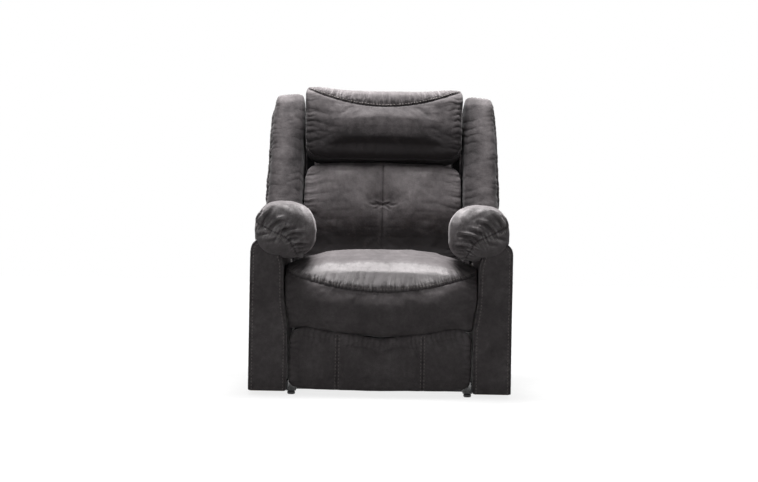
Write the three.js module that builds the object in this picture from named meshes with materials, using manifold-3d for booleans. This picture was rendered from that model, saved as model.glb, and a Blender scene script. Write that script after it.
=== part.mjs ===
// Recliner armchair. Two upholstered arms stand on a steel base with floor glides. The seat
// carriage rides on four swing links, the back hinges on the carriage, and the footrest folds
// out of the front on two coupled parallelogram linkages, one set each side.
// Millimetres, +Z up, the sitter looks along -Y, origin on the floor under the middle.
// Right means +X, the viewer's right when looking at the front of the chair.

import * as THREE from 'three';
import { mergeVertices } from 'three/addons/utils/BufferGeometryUtils.js';
import Module from 'manifold-3d';

const wasm = await Module();
wasm.setup();

// ---- Driving dimensions ------------------------------------------------------------

// Clearances
const seatGap = 0.3;          // between pieces that rest on each other
const runningGap = 0.4;       // beside and around a turning pin
const clothGap = 2.5;         // between padded pieces that move past each other

// Stance and arms
const overallWidth = 860;
const glideHeight = 12;
const glideRadius = 13;
const armGap = 610;           // clear width between the arms below the seat
const armTop = 510;
const armFront = -445;
const armRear = 262;
const armCorner = 38;         // radius of the outer top edge
const armFlare = 40;          // how far the inner edge leans out at the top
const armWaist = 15;          // how far it leans out beside the seat
const armSkin = 8;            // foam and cover over the frame
const armSwell = 6;           // how far the inner edge rounds out below its top corner
const armPly = 18;
const armStretcher = 45;

// Armrest pads
const padFront = -470;
const padRear = 118;
const padTop = 641;
const padWidth = 207;
const padInset = 9;             // of its outer edge from the arm's outer face
const padDrop = 66;           // how far the front bulb hangs below the arm top
const padRearTop = 598;

// Mechanism: sheet steel links in layers, counted inwards from the base rail
const plateThickness = 4;
const layerPitch = 7;
const pinRadius = 4.5;
const pinHeadRadius = 8;
const pinHeadThickness = 1.8;
const linkHalfWidth = 8;
const plateHoleRadius = 11;

// Base rails and swing links
const railFlange = 30;
const railHeight = 34;
const railFront = -425;
const railRear = 232;
const swingLength = 100;
const swingLean = 15;         // degrees that the links lean back at rest
const swingFrontY = -150;
const swingRearY = 150;
const swingBaseZ = 80;
const earHalf = 26;           // half an ear's middle width, for a swing link's foot
const earTop = 15;            // steel above the foot's centre
const railCorner = 8;
const crossTube = 24;         // square tube of the base cross rails
const crossTubeWall = 2;
const crossFrontY = -330;
const crossRearY = 205;

// Seat carriage
const hingeY = 225;
const hingeZ = 330;
const plateTop = 285;
const seatTimber = 25;
const seatDeck = 335;         // top of the seat timbers, where the springs lie
const boardFront = -392;
const boardBottom = 232;
const rearRailY = 96;
const springCount = 5;
const springSpread = 400;
const springWire = 4;
const springWidth = 46;
const springHalfWaves = 12;

// Seat cushion
const seatFront = -470;
const seatRear = 92;
const seatCrown = 474;
const seatEdgeTop = 424;
const seatDropBack = -397;    // rear face of the padded front
const seatDropMiddle = 192;
const seatDropCorner = 228;
const seatDropBow = 0.75;      // share of the half width over which the lower edge rises

// Footrest linkage
const frontPivotY = -250;
const frontPivotZ = 262;
const footLinkLength = 200;
const footFoldAngle = -125;   // degrees from straight ahead, up is positive
const longLinkSlope = 20;
const longLinkReach = 245;
const footPivotSpacing = 65;
const bracketSpacing = 36;
const torqueTubeRadius = 9;
const torqueTubeStation = 100;

// Footrest panel
const footBoardBack = -399;
const footBoardThickness = 15;
const footPadThickness = 30;
const footPanelBottom = 16;
const footTopGap = 6;         // between the pad and the seat cushion's lower edge
const footBoardInset = 14;

// Back
const backTilt = 12;          // degrees from upright at rest
const backSideGap = 35;       // from the lumbar cushion and headrest pillow to the arms' waist
const postInset = 26;         // from the hinge plate to the inner face of a post
const postFront = -25;
const postBottom = -62;
const postTop = 680;
const railDepth = 22;
const railTall = 60;
const webbingWidth = 52;
const webbingThickness = 2.5;
const webbingCount = 3;
const lumbarFront = -128;
const lumbarBottom = 22;
const lumbarRoundness = 0.24;
const lumbarFootSetback = 8;   // of the wider foot behind the cushion's face
const headBottom = 450;
const headTop = 725;
const headFront = -172;
const headRoundness = 0.28;
const wingTop = 704;
const wingBottom = 236;
const wingFront = -150;
const wingTopWidth = 806;
const wingBottomWidth = 846;
const backRear = 99.6;
const backCoverDepth = 70;
const backCoverSkin = 7;
const backCoverBottom = -92;

// Release paddle in the outer face of the left arm
const cupY = -120;
const cupZ = 322;
const cupLength = 118;
const cupHeight = 74;
const cupDepth = 30;
const cupWall = 3;
const cupLip = 9;
const cupLipThickness = 1.5;
const cupClearance = 1.2;
const paddleThickness = 6;
const paddleCorner = 14;
const paddlePinRadius = 2.5;
const paddleBarrelRadius = 6;
const fingerGap = 32;          // from the paddle's free end to the wall of the cup

// ---- Derived places ------------------------------------------------------------------

const arcSteps = 4;
const roundSides = 9;
const degrees = THREE.MathUtils.degToRad;
const armInnerX = armGap / 2;
const armOuterX = overallWidth / 2;
const tightHalfGap = armInnerX + armWaist;
const backInnerWidth = 2 * (tightHalfGap - backSideGap);
const footPanelTop = seatDropMiddle - footTopGap;

function layerLow(index) {
  return armInnerX - seatGap - plateThickness - index * layerPitch;
}

function layerHigh(index) {
  return layerLow(index) + plateThickness;
}

const layer = { rail: 0, swing: 1, seatPlate: 2, footLinks: 3, longLinks: 4, bracket: 5 };

function heading(angle) {
  return new THREE.Vector2(-Math.cos(degrees(angle)), Math.sin(degrees(angle)));
}

function moved(point, direction, distance) {
  return point.clone().addScaledVector(direction, distance);
}

const alongFootLink = heading(footFoldAngle);
const alongLongLink = heading(longLinkSlope);
const frontPivot = new THREE.Vector2(frontPivotY, frontPivotZ);
const rearPivot = moved(frontPivot, alongLongLink, -footPivotSpacing);
const frontElbow = moved(frontPivot, alongFootLink, footLinkLength);
const rearElbow = moved(rearPivot, alongFootLink, footLinkLength);
const upperElbow = moved(frontElbow, alongFootLink, -bracketSpacing);
const bracketPivot = moved(frontElbow, alongLongLink, longLinkReach);
const bracketGuide = moved(bracketPivot, alongFootLink, -bracketSpacing);
const tubeCentre = moved(frontPivot, alongFootLink, torqueTubeStation);
const alongSwing = heading(90 + swingLean);
const swingPivots = [swingFrontY, swingRearY].map((y) => {
  const foot = new THREE.Vector2(y, swingBaseZ);
  return { foot, head: moved(foot, alongSwing, swingLength) };
});
const hinge = new THREE.Vector2(hingeY, hingeZ);

// ---- Geometry helpers ----------------------------------------------------------------

const axisX = new THREE.Vector3(1, 0, 0);
const axisY = new THREE.Vector3(0, 1, 0);
const axisZ = new THREE.Vector3(0, 0, 1);
const sideView = new THREE.Matrix4().makeBasis(axisY, axisZ, axisX);
const frontView = new THREE.Matrix4().makeBasis(axisX, axisZ, axisY.clone().negate());

function extruded(shape, depth) {
  return new THREE.ExtrudeGeometry(shape, { depth, bevelEnabled: false, curveSegments: arcSteps });
}

// An outline drawn in (y, z), given a thickness along X from its low face.
function fromSide(shape, xLow, thickness) {
  return extruded(shape, thickness).applyMatrix4(sideView).translate(xLow, 0, 0);
}

// An outline drawn in (x, z), given a depth along Y from its front face.
function fromFront(shape, yFront, depth) {
  return extruded(shape, depth).applyMatrix4(frontView).translate(0, yFront + depth, 0);
}

function block(xLow, xHigh, yLow, yHigh, zLow, zHigh) {
  const box = new THREE.BoxGeometry(xHigh - xLow, yHigh - yLow, zHigh - zLow);
  return box.translate((xLow + xHigh) / 2, (yLow + yHigh) / 2, (zLow + zHigh) / 2);
}

function rodAlongX(point, radius, xLow, xHigh, sides = roundSides) {
  const rod = new THREE.CylinderGeometry(radius, radius, xHigh - xLow, sides);
  return rod.rotateZ(Math.PI / 2).translate((xLow + xHigh) / 2, point.x, point.y);
}

function closedMesh(geometry) {
  const bare = geometry.clone();
  bare.deleteAttribute('normal');
  bare.deleteAttribute('uv');
  return mergeVertices(bare, 1e-4);
}

function solid(geometry) {
  const bare = closedMesh(geometry);
  return new wasm.Manifold(new wasm.Mesh({
    numProp: 3,
    vertProperties: new Float32Array(bare.attributes.position.array),
    triVerts: new Uint32Array(bare.index.array),
  }));
}

function geometryOf(manifold) {
  const mesh = manifold.getMesh();
  const geometry = new THREE.BufferGeometry();
  geometry.setAttribute('position', new THREE.BufferAttribute(mesh.vertProperties, 3));
  geometry.setIndex(new THREE.BufferAttribute(mesh.triVerts, 1));
  geometry.computeVertexNormals();
  return geometry;
}

function joined(geometries) {
  const solids = geometries.map(solid);
  return geometryOf(solids.reduce((whole, piece) => whole.add(piece)));
}

function cut(geometry, tools) {
  const solids = tools.map(solid);
  return geometryOf(solids.reduce((whole, tool) => whole.subtract(tool), solid(geometry)));
}

function kept(geometry, region) {
  return geometryOf(solid(geometry).intersect(solid(region)));
}

function signedVolume(geometry) {
  const position = geometry.attributes.position;
  const index = geometry.index;
  const corners = [new THREE.Vector3(), new THREE.Vector3(), new THREE.Vector3()];
  let volume = 0;
  for (let i = 0; i < index.count; i += 3) {
    corners.forEach((corner, k) => corner.fromBufferAttribute(position, index.getX(i + k)));
    volume += corners[0].dot(corners[1].clone().cross(corners[2])) / 6;
  }
  return volume;
}

function flipped(geometry) {
  const turned = geometry.clone();
  const index = turned.index;
  for (let i = 0; i < index.count; i += 3) {
    const second = index.getX(i + 1);
    index.setX(i + 1, index.getX(i + 2));
    index.setX(i + 2, second);
  }
  turned.computeVertexNormals();
  return turned;
}

function mirrored(geometry) {
  const copy = closedMesh(geometry);
  copy.scale(-1, 1, 1);
  return flipped(copy);
}

// Triangles over a flat ring, wound the same way round as the ring itself.
function capFaces(ring) {
  const along = Math.sign(THREE.ShapeUtils.area(ring));
  return THREE.ShapeUtils.triangulateShape([...ring], []).map((face) => {
    const corners = face.map((i) => ring[i]);
    return Math.sign(THREE.ShapeUtils.area(corners)) === along ? face : [face[0], face[2], face[1]];
  });
}

// A closed skin through rings of equal count; flat() gives a ring point's place in its plane.
function loft(rings, flat) {
  const count = rings[0].length;
  const positions = rings.flat().flatMap((point) => [point.x, point.y, point.z]);
  const faces = [];
  for (let r = 0; r + 1 < rings.length; r += 1) {
    for (let i = 0; i < count; i += 1) {
      const next = (i + 1) % count;
      const a = r * count + i;
      const b = r * count + next;
      faces.push(a, b, b + count, a, b + count, a + count);
    }
  }
  const lastRing = (rings.length - 1) * count;
  capFaces(rings[0].map(flat)).forEach(([a, b, c]) => faces.push(a, c, b));
  capFaces(rings.at(-1).map(flat)).forEach(([a, b, c]) => {
    faces.push(lastRing + a, lastRing + b, lastRing + c);
  });
  const geometry = new THREE.BufferGeometry();
  geometry.setAttribute('position', new THREE.Float32BufferAttribute(positions, 3));
  geometry.setIndex(faces);
  geometry.computeVertexNormals();
  return signedVolume(geometry) < 0 ? flipped(geometry) : geometry;
}

// A polygon with every corner rounded by up to the given radius.
function roundedOutline(corners, radius) {
  const points = corners.map(([x, y]) => new THREE.Vector2(x, y));
  const shape = new THREE.Shape();
  points.forEach((corner, i) => {
    const before = points[(i + points.length - 1) % points.length];
    const after = points[(i + 1) % points.length];
    const room = Math.min(corner.distanceTo(before), corner.distanceTo(after)) * 0.48;
    const reach = Math.min(radius, room);
    const enter = moved(corner, before.clone().sub(corner).normalize(), reach);
    const leave = moved(corner, after.clone().sub(corner).normalize(), reach);
    if (i === 0) {
      shape.moveTo(enter.x, enter.y);
    } else {
      shape.lineTo(enter.x, enter.y);
    }
    shape.quadraticCurveTo(corner.x, corner.y, leave.x, leave.y);
  });
  shape.closePath();
  return shape;
}

function rectangleOutline(xLow, xHigh, yLow, yHigh, radius) {
  return roundedOutline([[xLow, yLow], [xHigh, yLow], [xHigh, yHigh], [xLow, yHigh]], radius);
}

function capsuleOutline(start, end, radius) {
  const angle = end.clone().sub(start).angle();
  const shape = new THREE.Shape();
  shape.absarc(start.x, start.y, radius, angle + Math.PI / 2, angle + Math.PI * 1.5);
  shape.absarc(end.x, end.y, radius, angle - Math.PI / 2, angle + Math.PI / 2);
  shape.closePath();
  return shape;
}

// Pushes a sine or cosine towards its limits, to square up a circle.
function squared(value, roundness) {
  return Math.abs(value) < 1e-6 ? 0 : Math.sign(value) * Math.abs(value) ** roundness;
}

// A ball pushed towards a box: 1 keeps it round, smaller values square it up.
function puffed(halfX, halfY, halfZ, roundness, sides = 24, rings = 12) {
  const ball = closedMesh(new THREE.SphereGeometry(1, sides, rings));
  const position = ball.attributes.position;
  const bend = (value) => squared(value, roundness);
  for (let i = 0; i < position.count; i += 1) {
    const direction = new THREE.Vector3().fromBufferAttribute(position, i);
    const plan = Math.hypot(direction.x, direction.z);
    const across = plan > 1e-6 ? bend(direction.x / plan) * bend(plan) : 0;
    const along = plan > 1e-6 ? bend(direction.z / plan) * bend(plan) : 0;
    position.setXYZ(i, across * halfX, bend(direction.y) * halfY, along * halfZ);
  }
  return ball;
}

// ---- Materials -----------------------------------------------------------------------

function finish(color, roughness, metalness) {
  return new THREE.MeshStandardMaterial({ color, roughness, metalness });
}

const upholstery = finish(0x5a5556, 0.72, 0);
const blackCloth = finish(0x1d1c1d, 0.92, 0);
const timber = finish(0xb08a5c, 0.7, 0);
const linkSteel = finish(0x25262a, 0.4, 0.8);
const springSteel = finish(0x77797c, 0.35, 1);
const webbingWeave = finish(0x2d2b2a, 0.9, 0);
const glidePlastic = finish(0x141414, 0.5, 0);
const releasePlastic = finish(0x232224, 0.42, 0);

// ---- Assembly ------------------------------------------------------------------------

const chair = new THREE.Group();
const back = new THREE.Group();
back.position.set(0, hingeY, hingeZ);
back.rotation.x = -degrees(backTilt);
chair.add(back);

function add(name, geometry, material, group = chair) {
  const mesh = new THREE.Mesh(geometry, material);
  mesh.name = name;
  group.add(mesh);
}

function addPair(name, geometry, material, group = chair) {
  add(`${name}_right`, geometry, material, group);
  add(`${name}_left`, mirrored(geometry), material, group);
}

// ---- Sheet steel links and their pins ------------------------------------------------

// A shouldered rivet that stands on one layer's plate and holds the plate next to it.
function pivotPin(point, owner, held) {
  const inward = held > owner;
  const ownerFace = inward ? layerLow(owner) : layerHigh(owner);
  const side = inward ? -1 : 1;
  const nearFace = inward ? layerHigh(held) : layerLow(held);
  const farFace = inward ? layerLow(held) : layerHigh(held);
  const root = ownerFace - side;
  const shoulder = nearFace - side * runningGap;
  const headNear = farFace + side * runningGap;
  const headFar = headNear + side * pinHeadThickness;
  const rod = (radius, a, b) => rodAlongX(point, radius, Math.min(a, b), Math.max(a, b));
  return joined([
    rod(pinRadius, root, headFar),
    rod(pinHeadRadius, root, shoulder),
    rod(pinHeadRadius, headNear, headFar),
  ]);
}

function pinHole(point, index) {
  const past = 1;
  return rodAlongX(point, pinRadius + runningGap, layerLow(index) - past, layerHigh(index) + past);
}

function steelLink(start, end, index, holes, pins) {
  const bar = fromSide(capsuleOutline(start, end, linkHalfWidth), layerLow(index), plateThickness);
  const drilled = cut(bar, holes.map((point) => pinHole(point, index)));
  return pins.length ? joined([drilled, ...pins]) : drilled;
}

// ---- Base ----------------------------------------------------------------------------

function glide(x, y) {
  const profile = [
    new THREE.Vector2(0, 0),
    new THREE.Vector2(glideRadius * 0.8, 0),
    new THREE.Vector2(glideRadius, 3),
    new THREE.Vector2(glideRadius, glideHeight - seatGap - 3),
    new THREE.Vector2(glideRadius * 0.75, glideHeight - seatGap),
    new THREE.Vector2(0, glideHeight - seatGap),
  ];
  return new THREE.LatheGeometry(profile, roundSides).rotateX(Math.PI / 2).translate(x, y, 0);
}

// An angle rail with two ears that carry the feet of the swing links.
function baseRail() {
  const bottom = glideHeight;
  const corners = [[railFront, bottom], [railRear, bottom], [railRear, bottom + railHeight]];
  [...swingPivots].reverse().forEach(({ foot }) => {
    corners.push([foot.x + earHalf * 1.6, bottom + railHeight]);
    corners.push([foot.x + earHalf * 0.5, foot.y + earTop]);
    corners.push([foot.x - earHalf * 0.5, foot.y + earTop]);
    corners.push([foot.x - earHalf * 1.6, bottom + railHeight]);
  });
  corners.push([railFront, bottom + railHeight]);
  const web = fromSide(roundedOutline(corners, railCorner), layerLow(layer.rail), plateThickness);
  const flangeLow = layerHigh(layer.rail) - railFlange;
  const flange = block(
    flangeLow, layerHigh(layer.rail), railFront + 8, railRear - 8, bottom, bottom + plateThickness,
  );
  const pins = swingPivots.map(({ foot }) => pivotPin(foot, layer.rail, layer.swing));
  return joined([web, flange, ...pins]);
}

// A square tube that joins the rails, open at both ends.
function baseCrossTube(y) {
  const half = crossTube / 2;
  const end = layerHigh(layer.rail) - railFlange - seatGap;
  const low = glideHeight;
  const wall = crossTubeWall;
  const outer = block(-end, end, y - half, y + half, low, low + crossTube);
  const bore = block(
    -end - 1, end + 1, y - half + wall, y + half - wall, low + wall, low + crossTube - wall,
  );
  return cut(outer, [bore]);
}

function addBase() {
  addPair('base_rail', baseRail(), linkSteel);
  add('base_cross_front', baseCrossTube(crossFrontY), linkSteel);
  add('base_cross_rear', baseCrossTube(crossRearY), linkSteel);
  const glideX = layerHigh(layer.rail) - glideRadius - 2;
  addPair('glide_front', glide(glideX, railFront + 22), glidePlastic);
  addPair('glide_rear', glide(glideX, railRear - 26), glidePlastic);
  const names = ['swing_link_front', 'swing_link_rear'];
  swingPivots.forEach(({ foot, head }, i) => {
    addPair(names[i], steelLink(foot, head, layer.swing, [foot, head], []), linkSteel);
  });
}

// ---- Arms ----------------------------------------------------------------------------

// The arm's front outline in (x, z), moved outwards by grow; zLow is its bottom edge.
function armOutline(grow, zLow) {
  const inner = armInnerX - grow;
  const outer = armOuterX + grow;
  const top = armTop + grow;
  const waist = inner + armWaist;
  const shape = new THREE.Shape();
  shape.moveTo(inner, zLow);
  shape.lineTo(outer, zLow);
  shape.lineTo(outer, armTop - armCorner);
  shape.absarc(armOuterX - armCorner, armTop - armCorner, armCorner + grow, 0, Math.PI / 2);
  shape.lineTo(inner + armFlare, top);
  shape.bezierCurveTo(waist + armSwell, top - 55, waist, top - 85, waist, top - 130);
  shape.bezierCurveTo(waist, top - 215, inner, top - 245, inner, top - 310);
  shape.closePath();
  return shape;
}

function cupOutline(grow) {
  const halfLength = cupLength / 2 + grow;
  const halfHeight = cupHeight / 2 + grow;
  return rectangleOutline(
    cupY - halfLength, cupY + halfLength, cupZ - halfHeight, cupZ + halfHeight, halfHeight * 0.9,
  );
}

// The padded cover: a shell over the whole arm, open underneath.
function armCover() {
  const outer = fromFront(armOutline(0, glideHeight), armFront, armRear - armFront);
  const hollow = fromFront(
    armOutline(-armSkin, glideHeight - 1), armFront + armSkin, armRear - armFront - 2 * armSkin,
  );
  return cut(outer, [hollow]);
}

// Plywood front and rear panels joined by four stretchers, just inside the cover.
function armFrame() {
  const inset = armSkin + seatGap;
  const yFront = armFront + inset;
  const yRear = armRear - inset;
  const outline = () => armOutline(-inset, glideHeight);
  const front = fromFront(outline(), yFront, armPly);
  const rear = fromFront(outline(), yRear - armPly, armPly);
  const xLow = armInnerX + armFlare + inset;
  const xHigh = armOuterX - inset;
  const zTop = armTop - inset;
  const topHigh = block(
    xLow, xHigh - armCorner, yFront + 1, yRear - 1, zTop - armPly, zTop,
  );
  const stretchers = [armInnerX + inset, xHigh - armPly].map((x) => (
    block(x, x + armPly, yFront + 1, yRear - 1, glideHeight, glideHeight + armStretcher)
  ));
  const middle = block(
    xHigh - armPly, xHigh, yFront + 1, yRear - 1, armTop - 130, armTop - 130 + armStretcher,
  );
  return joined([front, rear, topHigh, middle, ...stretchers]);
}

// The pleated pad lies on the arm and its front end swells into a bulb over the inner edge.
function armPad() {
  const outerX = armOuterX - padInset;
  const stations = [
    { y: padFront, swell: 0.5, droop: 0.55 },
    { y: padFront + 14, swell: 0.8, droop: 0.82 },
    { y: padFront + 42, swell: 0.97, droop: 0.97 },
    { y: padFront + 80, swell: 1, droop: 1 },
    { y: padFront + 150, swell: 0.97, droop: 0.92 },
    { y: padFront + 240, swell: 0.86, droop: 0.7 },
    { y: padRear - 120, swell: 0.76, droop: 0.55 },
    { y: padRear - 30, swell: 0.72, droop: 0.5 },
    { y: padRear - 8, swell: 0.62, droop: 0.42 },
    { y: padRear, swell: 0.45, droop: 0.25 },
  ];
  const count = 26;
  const roundness = 0.8;
  const bend = (value) => squared(value, roundness);
  const rings = stations.map(({ y, swell, droop }) => {
    const along = (y - padFront) / (padRear - padFront);
    const top = THREE.MathUtils.lerp(padTop, padRearTop, along) - (1 - swell) * 40;
    const bottom = armTop + 12 - (padDrop + 12) * droop;
    const halfWidth = (padWidth / 2) * swell;
    const centreX = outerX - padWidth / 2 + (1 - swell) * padWidth * 0.28;
    return Array.from({ length: count }, (_, i) => {
      const angle = (i / count) * Math.PI * 2;
      const x = centreX + halfWidth * bend(Math.cos(angle));
      const z = (top + bottom) / 2 + ((top - bottom) / 2) * bend(Math.sin(angle));
      return new THREE.Vector3(x, y, z);
    });
  });
  const blob = loft(rings, (point) => new THREE.Vector2(point.x, point.z));
  const arm = fromFront(armOutline(seatGap, glideHeight), armFront - seatGap, 2000);
  return cut(blob, [arm]);
}

function addArms() {
  const cover = armCover();
  const frame = armFrame();
  add('arm_cover_right', cover, upholstery);
  add('arm_frame_right', frame, timber);
  const pocket = fromSide(cupOutline(cupClearance), -armOuterX - 1, cupDepth + 20);
  add('arm_cover_left', cut(mirrored(cover), [pocket]), upholstery);
  add('arm_frame_left', cut(mirrored(frame), [pocket]), timber);
  addPair('arm_pad', armPad(), upholstery);
}

// ---- Release paddle ------------------------------------------------------------------

// A moulded cup with a lip on the cover, and a paddle on a pin at its front end.
function releaseCup() {
  const face = -armOuterX;
  const body = fromSide(cupOutline(0), face, cupDepth);
  const lip = fromSide(cupOutline(cupLip), face - seatGap - cupLipThickness, cupLipThickness);
  const neck = fromSide(cupOutline(0), face - seatGap - 1, 2);
  const hollow = fromSide(cupOutline(-cupWall), face - 10, cupDepth + 10 - cupWall);
  const shell = cut(joined([body, neck, lip]), [hollow]);
  return joined([shell, paddlePin(cupWall / 2)]);
}

const paddlePivotX = -armOuterX + 9;
const paddlePivotY = cupY - cupLength / 2 + 20;

function uprightRod(radius, zLow, zHigh) {
  const rod = new THREE.CylinderGeometry(radius, radius, zHigh - zLow, roundSides);
  return rod.rotateX(Math.PI / 2).translate(paddlePivotX, paddlePivotY, (zLow + zHigh) / 2);
}

function paddlePin(sink) {
  const reach = cupHeight / 2 - cupWall + sink;
  return uprightRod(paddlePinRadius, cupZ - reach, cupZ + reach);
}

function releasePaddle() {
  const clear = 2;
  const halfHeight = cupHeight / 2 - cupWall - clear;
  const yLow = paddlePivotY - 5;
  const yHigh = cupY + cupLength / 2 - cupWall - fingerGap;
  const face = fromSide(
    rectangleOutline(yLow, yHigh, cupZ - halfHeight, cupZ + halfHeight, paddleCorner),
    paddlePivotX - paddleThickness / 2, paddleThickness,
  );
  const barrel = uprightRod(
    paddleBarrelRadius, cupZ - halfHeight + paddleCorner, cupZ + halfHeight - paddleCorner,
  );
  const bore = uprightRod(paddlePinRadius + runningGap, cupZ - cupHeight, cupZ + cupHeight);
  return cut(joined([face, barrel]), [bore]);
}

function addRelease() {
  add('release_cup', releaseCup(), releasePlastic);
  add('release_paddle', releasePaddle(), releasePlastic);
}

// ---- Seat carriage -------------------------------------------------------------------

// The side plate carries every pivot of its side: swing links, footrest links and back.
function seatPlate() {
  const [frontHead, rearHead] = swingPivots.map(({ head }) => head);
  const edge = 15;
  const belly = 222;
  const corners = [
    [frontPivot.x - edge * 2, plateTop],
    [frontPivot.x - edge * 2, frontPivot.y - edge * 1.4],
    [rearPivot.x - edge, rearPivot.y - edge * 1.6],
    [frontHead.x - edge * 1.5, frontHead.y - edge],
    [frontHead.x + edge * 1.5, frontHead.y - edge],
    [frontHead.x + edge * 4, belly],
    [rearHead.x - edge * 4, belly],
    [rearHead.x - edge * 1.5, rearHead.y - edge],
    [rearHead.x + edge * 1.5, rearHead.y - edge],
    [hinge.x + edge * 1.4, hinge.y - edge * 3],
    [hinge.x + edge * 1.4, hinge.y + edge],
    [hinge.x - edge * 1.4, hinge.y + edge],
    [hinge.x - edge * 4, plateTop],
  ];
  const sheet = fromSide(
    roundedOutline(corners, 14), layerLow(layer.seatPlate), plateThickness,
  );
  const holeCentres = [-60, -15, 30, 75].map((y) => new THREE.Vector2(y, (plateTop + belly) / 2));
  const holes = holeCentres.map((point) => (
    rodAlongX(point, plateHoleRadius, layerLow(layer.seatPlate) - 1, layerHigh(layer.seatPlate) + 1)
  ));
  const pins = [
    pivotPin(frontHead, layer.seatPlate, layer.swing),
    pivotPin(rearHead, layer.seatPlate, layer.swing),
    pivotPin(frontPivot, layer.seatPlate, layer.footLinks),
    pivotPin(rearPivot, layer.seatPlate, layer.footLinks),
    pivotPin(hinge, layer.seatPlate, layer.footLinks),
  ];
  return joined([cut(sheet, holes), ...pins]);
}

// A wire bent back and forth in one plane, from the front board to the rear rail.
function seatSpring(x) {
  const yStart = boardFront + 6;
  const yEnd = rearRailY + seatTimber - 6;
  const z = seatDeck + seatGap + springWire / 2;
  const step = (yEnd - yStart) / springHalfWaves;
  const points = [new THREE.Vector3(x, yStart, z)];
  for (let i = 0; i < springHalfWaves; i += 1) {
    const side = i % 2 ? -1 : 1;
    const reach = (springWidth / 2) * side;
    points.push(new THREE.Vector3(x + reach, yStart + (i + 0.25) * step, z));
    points.push(new THREE.Vector3(x + reach, yStart + (i + 0.75) * step, z));
  }
  points.push(new THREE.Vector3(x, yEnd, z));
  const path = new THREE.CatmullRomCurve3(points, false, 'centripetal');
  const section = new THREE.Shape();
  const sides = 4;
  for (let i = 0; i < sides; i += 1) {
    const angle = (i / sides) * Math.PI * 2;
    const place = [(springWire / 2) * Math.cos(angle), (springWire / 2) * Math.sin(angle)];
    if (i === 0) {
      section.moveTo(...place);
    } else {
      section.lineTo(...place);
    }
  }
  return new THREE.ExtrudeGeometry(section, {
    steps: springHalfWaves * 3, extrudePath: path, bevelEnabled: false,
  });
}

// Height of the seat cushion's bowed lower edge.
function seatDropAt(x) {
  const across = Math.abs(x) / (tightHalfGap - clothGap);
  return THREE.MathUtils.lerp(seatDropMiddle, seatDropCorner, Math.min(1, across / seatDropBow) ** 2);
}

// The side outline of the seat cushion at a fraction of its half width, as a ring of points.
function seatSection(x) {
  const across = Math.abs(x) / (tightHalfGap - clothGap);
  const top = THREE.MathUtils.lerp(seatCrown, seatEdgeTop, across ** 3);
  const tuck = 10 * across ** 6;
  const front = seatFront + 16 * across ** 2 + tuck;
  const drop = seatDropAt(x);
  const floor = seatDeck + springWire + 3 * seatGap;
  const outline = new THREE.Shape();
  outline.moveTo(seatDropBack, floor);
  outline.lineTo(seatDropBack, drop + 4);
  outline.quadraticCurveTo(seatDropBack - 2, drop, seatDropBack - 14, drop);
  outline.bezierCurveTo(front + 22, drop, front, drop + 45, front, drop + 95);
  outline.bezierCurveTo(front, top - 50, front + 40, top - 8, front + 130, top);
  outline.bezierCurveTo(front + 250, top + 2, seatRear - 140, top - 14, seatRear - 40, top - 22);
  outline.quadraticCurveTo(seatRear, top - 24, seatRear, top - 60);
  outline.lineTo(seatRear, floor + 12);
  outline.quadraticCurveTo(seatRear, floor, seatRear - 12, floor);
  return outline.getPoints(5).map((point) => new THREE.Vector3(x, point.x, point.y));
}

function seatCushion() {
  const half = tightHalfGap - clothGap;
  const outward = [0.3, 0.55, seatDropBow, 0.88, 0.97, 1];
  const fractions = [...outward.map((value) => -value).reverse(), 0, ...outward];
  const rings = fractions.map((fraction) => seatSection(fraction * half));
  const body = loft(rings, (point) => new THREE.Vector2(point.y, point.z));
  const arm = fromFront(armOutline(clothGap, 0), seatFront - 10, seatRear - seatFront + 20);
  return cut(body, [arm, mirrored(arm)]);
}

function addSeat() {
  addPair('seat_plate', seatPlate(), linkSteel);
  const railHigh = layerHigh(layer.seatPlate);
  const railLow = layerLow(layer.seatPlate) - seatTimber;
  const railBottom = plateTop + seatGap;
  const railRearEnd = rearRailY + seatTimber;
  const sideRail = block(railLow, railHigh, boardFront, railRearEnd, railBottom, seatDeck);
  addPair('seat_side_rail', sideRail, timber);
  const between = railLow - seatGap;
  const board = fromSide(
    rectangleOutline(boardFront, boardFront + seatTimber, boardBottom, seatDeck, 4),
    -between, 2 * between,
  );
  add('seat_front_board', board, timber);
  const rearRail = fromSide(
    rectangleOutline(rearRailY, rearRailY + seatTimber, railBottom, seatDeck, 4),
    -between, 2 * between,
  );
  add('seat_rear_rail', rearRail, timber);
  for (let i = 0; i < springCount; i += 1) {
    const x = -springSpread / 2 + (springSpread * i) / (springCount - 1);
    add(`seat_spring_${i + 1}`, seatSpring(x), springSteel);
  }
  add('seat_cushion', seatCushion(), upholstery);
}

// ---- Back, drawn upright about its hinge: y to the rear, z up along the posts ----------

const postInnerX = layerLow(layer.footLinks) - postInset;
const wingRear = backRear - backCoverSkin - seatGap;
const postRear = wingRear;
const backCoverNarrowHalf = layerLow(layer.seatPlate) - clothGap;
const postOuterX = layerLow(layer.footLinks) - seatGap;

function backBracket() {
  const bracketRear = 22;
  const corners = [
    [-17, -17], [17, -17], [bracketRear, 40], [bracketRear, 215], [postFront + 4, 215], [-17, 30],
  ];
  const sheet = fromSide(
    roundedOutline(corners, 12), layerLow(layer.footLinks), plateThickness,
  );
  return cut(sheet, [pinHole(new THREE.Vector2(0, 0), layer.footLinks)]);
}

function webbing(z) {
  const half = postOuterX - 4;
  return block(
    -half, half, postFront - seatGap - webbingThickness, postFront - seatGap,
    z - webbingWidth / 2, z + webbingWidth / 2,
  );
}

const cushionBack = postFront - 2 * seatGap - webbingThickness;

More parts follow.
